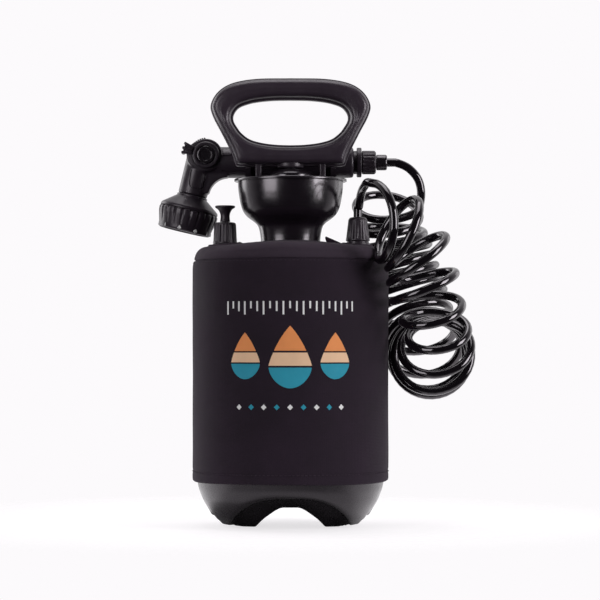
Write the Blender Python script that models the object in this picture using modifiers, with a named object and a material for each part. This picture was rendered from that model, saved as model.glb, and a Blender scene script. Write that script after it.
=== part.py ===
"""Hand-pumped pressure shower: a five-litre tank in a sleeve, a fill funnel, a pump, a wand and a hose."""
import math

import bmesh
import bpy
from mathutils import Vector

# Units and overall choices
MM = 0.001
GAP = 0.3 * MM              # clearance between pieces that touch
OVERRUN = 2.0 * MM          # how far a cutter runs past what it cuts
BIG_STEPS = 28              # sides of the large round pieces
MID_STEPS = 20
SMALL_STEPS = 12
MERGE = 0.01 * MM

# Tank
TANK_RADIUS = 87.5 * MM
TANK_WALL = 2.5 * MM
BASE_RISE = 50.0 * MM       # height over which the base turns in
TANK_BODY_TOP = 238.0 * MM  # where the shoulder starts to turn in
SHOULDER_REACH = 13.5 * MM  # how far in the shoulder's round corner reaches
SHOULDER_RISE = 17.5 * MM   # height of that corner
SHOULDER_CROWN = 3.5 * MM   # rise from the corner to the neck
NECK_RADIUS = 24.5 * MM
NECK_BORE = 22.0 * MM
NECK_HEIGHT = 14.6 * MM
NECK_LAND = 5.5 * MM        # flat ring round the neck
ARCH_WIDTH = 65.0 * MM      # channels under the base
ARCH_HEIGHT = 18.5 * MM
# Radius as a share of the tank's radius, height as a share of the base's rise
BASE_SHARES = [(0.976, 0.76), (0.962, 0.58), (0.904, 0.42), (0.845, 0.23), (0.779, 0.085), (0.745, 0.0)]
# Half width and height of the channel as shares of half its width and its height
ARCH_SHARES = [(1.0, 0.0), (0.80, 0.36), (0.57, 0.68), (0.36, 0.93), (0.22, 1.0)]

# Bosses and ports on the shoulder
RELIEF_OUTSET = 8.5 * MM    # from the lip of the funnel to the middle of the relief valve
OUTLET_X = 0.715 * TANK_RADIUS
BOSS_RADIUS = 12.6 * MM
BOSS_TOP = 2.0 * MM         # height over the corner of the shoulder
PORT_RADIUS = 7.2 * MM      # threaded stem of either fitting
PORT_FLANGE_RADIUS = 11.6 * MM
GASKET_THICK = 1.4 * MM

# Sleeve
SLEEVE_THICK = 3.2 * MM
SLEEVE_HEM_Z = 42.0 * MM
SLEEVE_SEAM_DEG = 21.0      # place of the seam round the shoulder's corner
SLEEVE_NOTCH_WIDTH = 24.0 * MM

# Fill funnel
FUNNEL_LIP_RADIUS = 0.598 * TANK_RADIUS
RELIEF_X = -FUNNEL_LIP_RADIUS - RELIEF_OUTSET
FUNNEL_LIP_HEIGHT = 2.5 * MM
FUNNEL_TOP_Z = 322.0 * MM
FUNNEL_THROAT_RADIUS = 27.2 * MM
FUNNEL_WALL = 2.4 * MM
FUNNEL_BORE = 20.0 * MM
LEDGE_THICK = 4.4 * MM
# Outer bowl: radius between throat and lip, height between ledge and lip, both as shares
BOWL_SHARES = [
    (0.86, 1.0), (0.81, 0.70), (0.745, 0.49), (0.68, 0.34), (0.48, 0.20), (0.27, 0.10), (0.07, -0.02),
    (0.0, -0.14)
]

# Pump
CAP_RADIUS = 21.0 * MM
CAP_TOP_Z = 329.0 * MM
CAP_FLANGE_RADIUS = 22.6 * MM
CAP_FLANGE_THICK = 3.5 * MM
CAP_TOP_THICK = 5.5 * MM
CAP_SPIGOT_RADIUS = 19.7 * MM
CAP_SPIGOT_LENGTH = 15.0 * MM
LUG_REACH = 3.5 * MM
LUG_HEIGHT = 5.0 * MM
LUG_WIDTH = 8.0 * MM
LUG_DROP = 7.0 * MM         # from the top of the cap to the top of a lug
LUG_DEG = 52.0              # direction of a lug from the leg that it locks
CYLINDER_RADIUS = 16.0 * MM
CYLINDER_WALL = 1.5 * MM
CYLINDER_LENGTH = 218.0 * MM
CYLINDER_FLOOR = 2.5 * MM
ROD_RADIUS = 5.0 * MM
GUIDE_FLANGE_RADIUS = 11.3 * MM
GUIDE_FLANGE_THICK = 3.2 * MM
GUIDE_WALL = 1.6 * MM
PISTON_THICK = 16.0 * MM
PISTON_REST = 8.0 * MM      # from the cylinder's floor to the piston
PISTON_RING_HEIGHT = 4.0 * MM
PISTON_RING_DEPTH = 2.4 * MM
VALVE_DISC_RADIUS = 9.0 * MM
VALVE_DISC_THICK = 1.6 * MM
VALVE_STEM_RADIUS = 2.6 * MM
PUMP_STROKE = 170.0 * MM
PUMP_LIFT = 240.0 * MM

# Handle
HANDLE_HALF_WIDTH = 74.5 * MM
HANDLE_HEIGHT = 81.8 * MM
HANDLE_BOTTOM_Z = 334.0 * MM
HANDLE_DEPTH = 28.0 * MM
HANDLE_ROUND = 6.0 * MM
HANDLE_WALL = 2.6 * MM
HANDLE_BORDER = 2.8 * MM    # how far the front shell stands inside the rear one
PARTING_Y = -2.0 * MM
GRIP_SIDE = 22.0 * MM       # width of the ring of the handle at its sides, its top and its base
GRIP_TOP = 20.4 * MM
GRIP_BASE = 19.5 * MM
ROD_SOCKET = 12.0 * MM      # how far the rod goes into the handle
ROD_BOSS_HALF = 11.0 * MM
PIN_RADIUS = 1.8 * MM
PIN_LENGTH = 21.0 * MM
LEG_X = 29.8 * MM
LEG_WIDTH = 5.5 * MM
LEG_DEPTH = 12.0 * MM
LEG_LENGTH = 19.0 * MM
LEG_TOE = 2.4 * MM
LEG_TOE_HEIGHT = 3.0 * MM
# Right half of each outline, from the top middle: shares of its half width and height
HANDLE_SHARES = [
    (0.0, 1.0), (0.43, 0.993), (0.728, 0.944), (0.906, 0.845), (0.996, 0.702), (0.972, 0.572), (0.862, 0.379),
    (0.742, 0.16), (0.682, 0.0)
]
OPENING_SHARES = [
    (0.0, 1.0), (0.32, 0.993), (0.61, 0.955), (0.79, 0.90), (0.91, 0.835), (0.985, 0.73), (1.015, 0.62), (1.0, 0.51),
    (0.945, 0.395), (0.87, 0.27), (0.72, 0.13), (0.50, 0.05), (0.24, 0.01), (0.0, 0.0)
]

SCREW_RADIUS = 1.6 * MM
SCREW_HEAD_RADIUS = 3.1 * MM
SCREW_HEAD_THICK = 2.2 * MM
SCREW_SINK = 0.8 * MM       # from the rear face down to the head
SCREW_REACH = 7.0 * MM      # how far a screw goes into the front shell
SCREW_POST_RADIUS = 4.6 * MM

# Relief valve
RELIEF_NUT_RADIUS = 11.2 * MM
RELIEF_NUT_TOP_RADIUS = 10.2 * MM
RELIEF_NUT_HEIGHT = 19.7 * MM
RELIEF_FLANGE_THICK = 2.4 * MM
RELIEF_SPIGOT_HEIGHT = 13.5 * MM
RELIEF_STEM_LENGTH = 13.0 * MM
RELIEF_CUP_RADIUS = 5.2 * MM
RELIEF_SEAT_RADIUS = 2.4 * MM
RELIEF_SEAT_THICK = 3.0 * MM
KNOB_RADIUS = 9.5 * MM
KNOB_NECK_RADIUS = 4.4 * MM
KNOB_HEIGHT = 15.5 * MM
KNOB_LIP = 1.6 * MM
KNOB_STEM_RADIUS = 2.6 * MM
SEAL_THICK = 2.6 * MM
SPRING_WIRE = 0.8 * MM
SPRING_CURLS = 4
SPRING_POINTS = 6
RELIEF_PULL = 5.0 * MM

# Hose outlet and dip tube
OUTLET_FLANGE_THICK = 3.0 * MM
OUTLET_HEX_RADIUS = 10.3 * MM
OUTLET_HEX_HEIGHT = 1.6 * MM
OUTLET_NUT_RADIUS = 11.2 * MM
OUTLET_NUT_TOP_RADIUS = 8.9 * MM
OUTLET_NUT_HEIGHT = 22.3 * MM
OUTLET_SPIGOT_RADIUS = 6.8 * MM
OUTLET_SPIGOT_HEIGHT = 12.0 * MM
OUTLET_BORE = 1.8 * MM
OUTLET_TAIL = 20.0 * MM     # stem below the flange, into the tank
OUTLET_BARB_RADIUS = 3.0 * MM
OUTLET_BARB_LENGTH = 9.0 * MM
NUT_TOP_WALL = 4.0 * MM
DIP_RADIUS = 4.3 * MM
DIP_WALL = 1.0 * MM
DIP_END_Z = 28.0 * MM
FILTER_RADIUS = 6.6 * MM
FILTER_HEIGHT = 18.0 * MM
FILTER_FOOT = 3.0 * MM

# Wand, stored across the back of the funnel
WAND_Y = 38.0 * MM
WAND_Z = 340.4 * MM
WAND_RADIUS = 14.7 * MM
WAND_END_X = 59.4 * MM
WAND_END_ROUND = 2.5 * MM
HUB_X = -79.5 * MM
HUB_Z = 346.3 * MM
HUB_RADIUS = 15.6 * MM
HUB_DEPTH = 29.2 * MM
HEAD_TILT_DEG = 13.2
NECK_OUTSET = 4.7 * MM      # from the hub's centre out to where the head's axis starts
NECK_LENGTH = 38.0 * MM     # from the level of the hub's centre to the spray head
NECK_ROUND_RADIUS = 13.8 * MM
GUSSET_RADIUS = 18.5 * MM   # hollow of the web inside the elbow
GUSSET_DEPTH = 20.0 * MM
GUSSET_TURN_DEG = 80.0
GUSSET_STEPS = 5
GUSSET_LOW_SHARE = 0.9      # how far down the neck the web ends
WATER_TUBE_RADIUS = 6.0 * MM
WATER_TUBE_WALL = 1.5 * MM
CORE_RADIUS = 8.5 * MM
CORE_DEPTH = 22.0 * MM
SPINDLE_RADIUS = 5.6 * MM
LEVER_RADIUS = 12.6 * MM
LEVER_THICK = 4.1 * MM
LEVER_RECESS = 8.9 * MM
LEVER_RECESS_DEPTH = 1.6 * MM
LEVER_TAB_REACH = 23.0 * MM
LEVER_TAB_WIDTH = 8.0 * MM
LEVER_TAB_DEPTH = 16.0 * MM
LEVER_TAB_DEG = 162.0
LEVER_CAP_THICK = 2.2 * MM
WAND_SCREW_XS = [-52.0 * MM, -4.0 * MM, 44.0 * MM]
WAND_SCREW_Z = 10.4 * MM
WAND_SCREW_BACK = 7.4 * MM  # plane under which the heads are sunk
WAND_SCREW_FRONT = -6.5 * MM

# Spray head and dial, measured down the head's axis from the neck
HEAD_RADIUS = 27.5 * MM
HEAD_HEIGHT = 14.3 * MM
HEAD_WALL = 2.2 * MM
HEAD_AXLE_RADIUS = 4.6 * MM
DIAL_TOP_RADIUS = 28.1 * MM
DIAL_FACE_RADIUS = 24.6 * MM
DIAL_HEIGHT = 20.8 * MM
DIAL_BORE = 22.2 * MM
DIAL_FLOOR = 2.4 * MM
DIAL_FLUTES = 14
DIAL_FLUTE_DEPTH = 0.9 * MM
NOZZLE_THICK = 2.6 * MM
NOZZLE_RECESS = 1.2 * MM

# Hose end of the wand
COLLAR_NECK_RADIUS = 11.0 * MM
COLLAR_NECK_LENGTH = 2.7 * MM
COLLAR_RADIUS = 14.0 * MM
COLLAR_THICK = 4.5 * MM
STUD_RADIUS = 8.2 * MM
STUD_LENGTH = 8.5 * MM
STUD_BORE = 3.0 * MM
WAND_NUT_RADIUS = 11.3 * MM
WAND_NUT_LENGTH = 13.4 * MM
WAND_NUT_WALL = 2.0 * MM
FERRULE_RADIUS = 7.5 * MM
FERRULE_LENGTH = 10.4 * MM
FERRULE_NECK = 5.4 * MM
NUT_RIBS = 10
RIB_DEPTH = 0.6 * MM

# Cradle for the wand, clipped on the funnel's lip
CRADLE_X = 0.765 * FUNNEL_LIP_RADIUS
CRADLE_THICK = 5.0 * MM
CRADLE_WALL = 2.2 * MM
CRADLE_ARM = 3.4 * MM
CRADLE_ARM_RISE = 10.5 * MM  # how far the arms rise past the underside of the wand
CRADLE_REACH_Y = 0.63 * FUNNEL_LIP_RADIUS  # front edge of the clip
WAND_LIFT = 60.0 * MM

# Hose, a coiled tube of eight millimetres that hangs in a U from the outlet up to the wand
HOSE_RADIUS = 4.0 * MM
COIL_POINTS = 24
COIL_FIRST_TURN = -0.25
COIL_LAST_TURN = 19.5
# One row a turn, in millimetres from the tank's axis and the floor: the ring's centre, the way it faces
# and its radius
COIL_RINGS = [
    ((81.5, -64.0, 278.5), (0.93, 0.34, -0.05), 32.0),
    ((104.5, -62.0, 267.0), (0.84, 0.09, -0.52), 31.5),
    ((117.0, -57.0, 243.0), (0.48, 0.02, -0.877), 31.0),
    ((121.5, -52.0, 219.5), (0.24, 0.05, -0.97), 30.5),
    ((128.5, -46.0, 197.5), (0.08, 0.34, -0.93), 29.0),
    ((136.0, -34.0, 178.0), (0.03, 0.50, -0.86), 27.5),
    ((135.5, -17.0, 165.5), (0.02, 0.75, -0.65), 31.5),
    ((132.8, 1.5, 158.3), (0.0, 0.951, -0.309), 35.0),
    ((131.5, 22.0, 156.0), (-0.05, 1.0, 0.0), 35.5),
    ((129.5, 42.5, 159.0), (-0.10, 0.951, 0.309), 35.5),
    ((126.5, 61.0, 167.5), (-0.15, 0.80, 0.58), 35.5),
    ((122.0, 75.0, 182.0), (-0.20, 0.58, 0.80), 35.5),
    ((117.0, 83.5, 199.5), (-0.22, 0.30, 0.93), 35.5),
    ((112.0, 87.0, 217.0), (-0.25, 0.10, 0.97), 35.5),
    ((108.0, 87.5, 228.5), (-0.25, 0.04, 0.97), 35.5),
    ((104.5, 88.0, 239.5), (-0.25, 0.02, 0.97), 35.5),
    ((101.0, 88.0, 250.5), (-0.23, 0.0, 0.97), 35.5),
    ((97.5, 87.5, 262.0), (-0.18, -0.05, 0.97), 35.0),
    ((94.0, 86.0, 276.5), (-0.10, -0.22, 0.95), 33.5),
    ((93.0, 84.5, 297.5), (0.0, -0.55, 0.83), 30.5),
    ((93.5, 80.0, 314.0), (0.0, -0.62, 0.79), 30.0),
]
# The hose's own route between its coil and its two ends, in millimetres
OUTLET_LEAD_ROUTE = [(63.0, -4.0, 299.0), (65.0, -12.0, 307.0), (68.5, -25.0, 312.5), (72.5, -42.0, 314.5)]
WAND_LEAD_ROUTE = [
    (119.0, 49.0, 294.5), (123.5, 42.0, 308.5), (121.0, 38.5, 323.5), (111.5, 38.0, 335.0)
]
LEAD_POINTS = 3             # points of the tube for each point of a route

# Places that follow from the sizes above
CORNER_RADIUS = TANK_RADIUS - SHOULDER_REACH
CORNER_Z = TANK_BODY_TOP + SHOULDER_RISE
SHOULDER_Z = CORNER_Z + SHOULDER_CROWN
NECK_TOP_Z = SHOULDER_Z + NECK_HEIGHT
LEDGE_BOTTOM_Z = NECK_TOP_Z + GAP + GASKET_THICK + GAP
LEDGE_TOP_Z = LEDGE_BOTTOM_Z + LEDGE_THICK
CAP_BOTTOM_Z = LEDGE_TOP_Z + GAP + GASKET_THICK + GAP
OPENING_HALF_WIDTH = HANDLE_HALF_WIDTH - GRIP_SIDE
OPENING_BOTTOM = GRIP_BASE
OPENING_HEIGHT = HANDLE_HEIGHT - GRIP_BASE - GRIP_TOP
# Screws of the handle, in the middle of its ring, low and high on each side
HANDLE_SCREW_LOW = (HANDLE_HALF_WIDTH - 1.45 * GRIP_SIDE, GRIP_BASE - SCREW_POST_RADIUS)
HANDLE_SCREW_HIGH = (HANDLE_HALF_WIDTH - 0.62 * GRIP_SIDE, GRIP_BASE + 0.85 * OPENING_HEIGHT)
HANDLE_SCREWS = [(side * x, z) for side in (-1, 1) for x, z in (HANDLE_SCREW_LOW, HANDLE_SCREW_HIGH)]
CYLINDER_TOP_Z = CAP_TOP_Z - CAP_TOP_THICK - GAP
CYLINDER_BOTTOM_Z = CYLINDER_TOP_Z - CYLINDER_LENGTH
PISTON_Z = CYLINDER_BOTTOM_Z + CYLINDER_FLOOR + PISTON_REST
BOSS_Z = CORNER_Z + BOSS_TOP
PORT_Z = BOSS_Z + GAP + GASKET_THICK + GAP
OUTLET_NUT_TOP_Z = PORT_Z + OUTLET_FLANGE_THICK + OUTLET_HEX_HEIGHT + GAP + OUTLET_NUT_HEIGHT
WAND_NUT_X = WAND_END_X + GAP + COLLAR_NECK_LENGTH + COLLAR_THICK + GAP
WAND_HOSE_X = WAND_NUT_X + WAND_NUT_LENGTH + GAP + FERRULE_LENGTH
HEAD_TILT = math.radians(HEAD_TILT_DEG)
SLEEVE_INNER = GAP
SLEEVE_OUTER = GAP + SLEEVE_THICK
SLEEVE_SEAM = math.radians(SLEEVE_SEAM_DEG)
SLEEVE_THROAT = FUNNEL_THROAT_RADIUS + GAP


# Collections, materials and placing
def new_collection(name):
    group = bpy.data.collections.new(name)
    bpy.context.scene.collection.children.link(group)
    return group


def material(name, color, roughness, metallic=0.0):
    shade = bpy.data.materials.new(name)
    shade.use_nodes = True
    surface = shade.node_tree.nodes["Principled BSDF"]
    surface.inputs["Base Color"].default_value = (*color, 1.0)
    surface.inputs["Roughness"].default_value = roughness
    surface.inputs["Metallic"].default_value = metallic
    shade.diffuse_color = (*color, 1.0)
    return shade


def empty(name, parent=None, location=(0.0, 0.0, 0.0), rotation=(0.0, 0.0, 0.0)):
    holder = bpy.data.objects.new(name, None)
    PARTS.objects.link(holder)
    holder.parent = parent
    holder.location = location
    holder.rotation_euler = rotation
    return holder


def place(piece, parent, location=(0.0, 0.0, 0.0), rotation=(0.0, 0.0, 0.0)):
    piece.parent = parent
    piece.location = location
    piece.rotation_euler = rotation
    return piece


def finish(piece, shade):
    """Gives a piece its material and its place in the object's collection."""
    piece.data.materials.clear()
    piece.data.materials.append(shade)
    PARTS.objects.link(piece)
    return piece


def as_cutter(piece):
    """Keeps a piece as a guide that is never part of the object."""
    CUTTERS.objects.link(piece)
    piece.hide_render = True
    piece.display_type = "WIRE"
    return piece


def combine(piece, other, operation):
    step = piece.modifiers.new(operation.lower(), "BOOLEAN")
    step.operation = operation
    step.solver = "EXACT"
    step.object = other
    return piece


def cut(piece, *cutters):
    for cutter in cutters:
        combine(piece, cutter, "DIFFERENCE")
    return piece


def join(piece, *others):
    for other in others:
        combine(piece, other, "UNION")
    return piece


# Shapes
def mesh_object(name, shape):
    data = bpy.data.meshes.new(name)
    shape.to_mesh(data)
    shape.free()
    return bpy.data.objects.new(name, data)


def turned(name, profile, steps=MID_STEPS):
    """Turns a closed outline of (radius, height), listed down its outer side first."""
    shape = bmesh.new()
    points = [shape.verts.new((radius, 0.0, height)) for radius, height in profile]
    for first, second in zip(points, points[1:]):
        shape.edges.new((first, second))
    if profile[0][0] > 0.0 or profile[-1][0] > 0.0:
        shape.edges.new((points[-1], points[0]))
    piece = mesh_object(name, shape)
    screw = piece.modifiers.new("turn", "SCREW")
    screw.steps = steps
    screw.render_steps = steps
    screw.use_merge_vertices = True
    screw.merge_threshold = MERGE
    screw.use_smooth_shade = True
    return piece


def cylinder(name, radius, depth, steps=MID_STEPS, top_radius=None):
    """A cylinder or cone on its base, along +Z."""
    shape = bmesh.new()
    bmesh.ops.create_cone(
        shape, cap_ends=True, segments=steps, radius1=radius,
        radius2=radius if top_radius is None else top_radius, depth=depth)
    bmesh.ops.translate(shape, verts=shape.verts, vec=(0.0, 0.0, depth / 2))
    piece = mesh_object(name, shape)
    piece.data.shade_smooth()
    piece.data.set_sharp_from_angle(angle=math.radians(35.0))
    return piece


def box(name, low, high):
    """A box between two corners."""
    shape = bmesh.new()
    bmesh.ops.create_cube(shape, size=1.0)
    size = [b - a for a, b in zip(low, high)]
    middle = [(a + b) / 2 for a, b in zip(low, high)]
    bmesh.ops.scale(shape, verts=shape.verts, vec=size)
    bmesh.ops.translate(shape, verts=shape.verts, vec=middle)
    return mesh_object(name, shape)


def ribbed(name, radius, top_radius, depth, ribs, rib_depth):
    """A cone whose sides stand out and in by turns, two points to each rib and each groove."""
    piece = cylinder(name, radius, depth, ribs * 4, top_radius)
    step = math.tau / (ribs * 4)
    for point in piece.data.vertices:
        turn = round(math.atan2(point.co.y, point.co.x) / step) % 4
        if turn >= 2:
            reach = point.co.xy.length
            point.co.xy *= (reach - rib_depth) / reach
    return piece


def from_curve(name, curve):
    """Turns a curve into a closed mesh."""
    guide = bpy.data.objects.new(name + "_guide", curve)
    CUTTERS.objects.link(guide)
    graph = bpy.context.evaluated_depsgraph_get()
    data = bpy.data.meshes.new_from_object(guide.evaluated_get(graph))
    bpy.data.objects.remove(guide)
    shape = bmesh.new()
    shape.from_mesh(data)
    bmesh.ops.remove_doubles(shape, verts=shape.verts, dist=MERGE)
    bmesh.ops.recalc_face_normals(shape, faces=shape.faces)
    shape.to_mesh(data)
    shape.free()
    data.name = name
    return bpy.data.objects.new(name, data)


def plate(name, outlines, thickness, rounding=0.0, rounding_steps=1):
    """A flat piece of one or more outlines in X and Z, centred on Y, with rounded edges."""
    curve = bpy.data.curves.new(name, "CURVE")
    curve.dimensions = "2D"
    curve.fill_mode = "BOTH"
    curve.extrude = thickness / 2 - rounding
    curve.bevel_depth = rounding
    curve.bevel_resolution = rounding_steps
    curve.offset = -rounding
    for outline in outlines:
        spline = curve.splines.new("POLY")
        spline.points.add(len(outline) - 1)
        for point, (x, z) in zip(spline.points, outline):
            point.co = (x, z, 0.0, 1.0)
        spline.use_cyclic_u = True
    piece = from_curve(name, curve)
    shape = bmesh.new()
    shape.from_mesh(piece.data)
    for point in shape.verts:
        point.co = (point.co.x, -point.co.z, point.co.y)
    shape.to_mesh(piece.data)
    shape.free()
    return piece


def tube(name, points, radius, sides_resolution=1):
    """A round tube along its points."""
    curve = bpy.data.curves.new(name, "CURVE")
    curve.dimensions = "3D"
    curve.bevel_depth = radius
    curve.bevel_resolution = sides_resolution
    curve.use_fill_caps = True
    spline = curve.splines.new("POLY")
    spline.points.add(len(points) - 1)
    for point, place_at in zip(spline.points, points):
        point.co = (*place_at, 1.0)
    return bpy.data.objects.new(name, curve)


# Lines and outlines
def smooth_line(points, count):
    """Reads count points for each stretch of a smooth curve that passes through the points."""
    rows = [Vector(point) for point in points]
    return smooth_inside([2 * rows[0] - rows[1], *rows, 2 * rows[-1] - rows[-2]], count)


def smooth_inside(rows, count):
    """The same from the second row to the last but one: the end rows only steer the curve."""
    line = []
    for first, here, after, last in zip(rows, rows[1:], rows[2:], rows[3:]):
        for number in range(count):
            line.append(between(first, here, after, last, number / count))
    line.append(rows[-2])
    return line


def between(first, here, after, last, share):
    """Place at a share of the way from here to after, on a curve through all four."""
    straight = (after - first) * share
    curved = (2 * first - 5 * here + 4 * after - last) * share ** 2
    closing = (3 * here - first - 3 * after + last) * share ** 3
    return (2 * here + straight + curved + closing) / 2


def mirrored(half):
    """Closes an outline whose right half runs from its top middle to its bottom."""
    right = [(point[0], point[1]) for point in half]
    left = [(-x, z) for x, z in reversed(right) if x > MERGE]
    return right + left


def inset(outline, distance):
    """Moves an outline inwards, or outwards for a negative distance."""
    count = len(outline)
    area = sum(
        outline[k][0] * outline[(k + 1) % count][1] - outline[(k + 1) % count][0] * outline[k][1]
        for k in range(count))
    side = 1.0 if area > 0.0 else -1.0
    moved = []
    for k in range(count):
        before = Vector(outline[k - 1])
        here = Vector(outline[k])
        after = Vector(outline[(k + 1) % count])
        arriving = (here - before).normalized()
        leaving = (after - here).normalized()
        inward = Vector((-arriving.y - leaving.y, arriving.x + leaving.x)) * side
        inward /= max(1.0 + arriving.dot(leaving), 0.2)
        moved.append(tuple(here + inward * distance))
    return moved


def shoulder(offset, start=0.0, steps=4):
    """Points up the shoulder's round corner, at an offset from the tank, from an angle to its top."""
    line = []
    for number in range(steps + 1):
        angle = start + (math.pi / 2 - start) * number / steps
        radius = CORNER_RADIUS + (SHOULDER_REACH + offset) * math.cos(angle)
        height = TANK_BODY_TOP + (SHOULDER_RISE + offset) * math.sin(angle)
        line.append((radius, height))
    return line


def crown_end(offset):
    """Where the crown of the shoulder meets the flat round the neck."""
    return (NECK_RADIUS + NECK_LAND, SHOULDER_Z + offset)


# Tank and sleeve
def base_channel(name, grow, turn):
    """The arch that runs under the tank, grown by a wall for the inside."""
    half = ARCH_WIDTH / 2 + grow
    height = ARCH_HEIGHT + grow
    right = [(x * half, z * height) for x, z in ARCH_SHARES]
    outline = [(x, z) for x, z in right] + [(-x, z) for x, z in reversed(right)]
    outline = [(half, -OVERRUN), *outline, (-half, -OVERRUN)]
    channel = as_cutter(plate(name, [outline], 2 * (TANK_RADIUS + OVERRUN)))
    return place(channel, ROOT, rotation=(0.0, 0.0, turn))


def build_tank(shade):
    neck = [(NECK_RADIUS, NECK_TOP_Z), (NECK_RADIUS, SHOULDER_Z)]
    top = [crown_end(0.0), *reversed(shoulder(0.0))]
    base = [(radius * TANK_RADIUS, height * BASE_RISE) for radius, height in [(1.0, 1.0), *BASE_SHARES]]
    outer = [(0.0, NECK_TOP_Z), *neck, *top, *base, (0.0, 0.0)]
    tank = finish(turned("tank", outer, BIG_STEPS), shade)
    for name, x in (("relief_boss", RELIEF_X), ("outlet_boss", OUTLET_X)):
        boss = as_cutter(cylinder(name, BOSS_RADIUS, BOSS_Z - TANK_BODY_TOP, MID_STEPS))
        join(tank, place(boss, ROOT, (x, 0.0, TANK_BODY_TOP)))
    lid = [(radius, height) for radius, height in reversed(shoulder(-TANK_WALL, steps=3))]
    inner_base = [
        (radius * (TANK_RADIUS - TANK_WALL), TANK_WALL + height * (BASE_RISE - TANK_WALL))
        for radius, height in [(1.0, 1.0), *BASE_SHARES[1::2]]]
    inner = [
        (0.0, SHOULDER_Z - TANK_WALL), (NECK_RADIUS, SHOULDER_Z - TANK_WALL), *lid, *inner_base, (0.0, TANK_WALL)]
    hollow = as_cutter(turned("tank_hollow", inner, MID_STEPS))
    place(hollow, ROOT)
    for number, turn in enumerate((0.0, math.pi / 2)):
        cut(tank, base_channel(f"base_channel_{number}", 0.0, turn))
        cut(hollow, base_channel(f"inner_channel_{number}", TANK_WALL, turn))
    cut(tank, hollow)
    bore = as_cutter(cylinder("neck_bore", NECK_BORE, NECK_HEIGHT + TANK_WALL + 2 * OVERRUN, MID_STEPS))
    cut(tank, place(bore, ROOT, (0.0, 0.0, SHOULDER_Z - TANK_WALL - OVERRUN)))
    for name, x in (("relief_port", RELIEF_X), ("outlet_port", OUTLET_X)):
        port = as_cutter(cylinder(name, PORT_RADIUS + GAP, BOSS_Z - TANK_BODY_TOP + OVERRUN, SMALL_STEPS))
        cut(tank, place(port, ROOT, (x, 0.0, TANK_BODY_TOP)))
    place(tank, ROOT)


def build_sleeve(side_shade, top_shade):
    """A neoprene tube and its top panel, sewn together round the shoulder."""
    seam = SLEEVE_SEAM
    outer = shoulder(SLEEVE_OUTER, seam)
    inner = shoulder(SLEEVE_INNER, seam)
    low_outer = (CORNER_RADIUS + SHOULDER_REACH + SLEEVE_OUTER, SLEEVE_HEM_Z)
    low_inner = (CORNER_RADIUS + SHOULDER_REACH + SLEEVE_INNER, SLEEVE_HEM_Z)
    side = turned("sleeve_side", [
        (outer[0][0], outer[0][1] - GAP),
        (low_outer[0], TANK_BODY_TOP),
        low_outer,
        low_inner,
        (low_inner[0], TANK_BODY_TOP),
        (inner[0][0], inner[0][1] - GAP),
    ], BIG_STEPS)
    place(finish(side, side_shade), ROOT)
    land_outer = crown_end(SLEEVE_OUTER)
    land_inner = crown_end(SLEEVE_INNER)
    top = turned("sleeve_top", [
        (SLEEVE_THROAT, land_outer[1]), land_outer, *reversed(outer),
        *inner, land_inner, (SLEEVE_THROAT, land_inner[1]),
    ], BIG_STEPS)
    place(finish(top, top_shade), ROOT)
    for name, x in (("relief_notch", RELIEF_X), ("outlet_notch", OUTLET_X)):
        half = SLEEVE_NOTCH_WIDTH / 2
        depth = SHOULDER_RISE + SLEEVE_OUTER
        round_end = as_cutter(cylinder(name + "_end", BOSS_RADIUS + GAP, depth, MID_STEPS))
        cut(top, place(round_end, ROOT, (x, 0.0, CORNER_Z - SLEEVE_THICK)))
        reach = math.copysign(TANK_RADIUS + SLEEVE_OUTER + OVERRUN, x)
        low = (min(x, reach), -half, TANK_BODY_TOP)
        high = (max(x, reach), half, SHOULDER_Z + SLEEVE_OUTER + OVERRUN)
        cut(top, place(as_cutter(box(name, low, high)), ROOT))


# Fill funnel, its seal and the cradle on its lip
def bowl(grow, top_z):
    """Down the bowl's wall from just under the lip, moved in by grow."""
    reach = FUNNEL_LIP_RADIUS - FUNNEL_THROAT_RADIUS
    rise = top_z - LEDGE_TOP_Z
    return [
        (FUNNEL_THROAT_RADIUS + radius * reach - grow, LEDGE_TOP_Z + height * rise)
        for radius, height in BOWL_SHARES]


def build_funnel(shade, seal_shade):
    under_lip = FUNNEL_TOP_Z - FUNNEL_LIP_HEIGHT
    outer = bowl(0.0, under_lip)
    inner = [(radius, height) for radius, height in bowl(FUNNEL_WALL, under_lip) if height > LEDGE_TOP_Z]
    inner = [(radius, height + FUNNEL_WALL / 2) for radius, height in inner]
    profile = [
        (FUNNEL_LIP_RADIUS, FUNNEL_TOP_Z), (FUNNEL_LIP_RADIUS, under_lip), *outer,
        (FUNNEL_THROAT_RADIUS, SHOULDER_Z + GAP), (NECK_RADIUS + GAP, SHOULDER_Z + GAP),
        (NECK_RADIUS + GAP, LEDGE_BOTTOM_Z), (FUNNEL_BORE, LEDGE_BOTTOM_Z), (FUNNEL_BORE, LEDGE_TOP_Z),
        (FUNNEL_THROAT_RADIUS, LEDGE_TOP_Z), *reversed(inner),
        (FUNNEL_LIP_RADIUS - FUNNEL_WALL, FUNNEL_TOP_Z),
    ]
    place(finish(turned("fill_funnel", profile, BIG_STEPS), shade), ROOT)
    low = NECK_TOP_Z + GAP
    ring = ring_profile(NECK_RADIUS - GAP, NECK_BORE, low + GASKET_THICK, low)
    place(finish(turned("funnel_gasket", ring), seal_shade), ROOT)


def ring_profile(outer, inner, top, bottom):
    return [(outer, top), (outer, bottom), (inner, bottom), (inner, top)]


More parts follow.
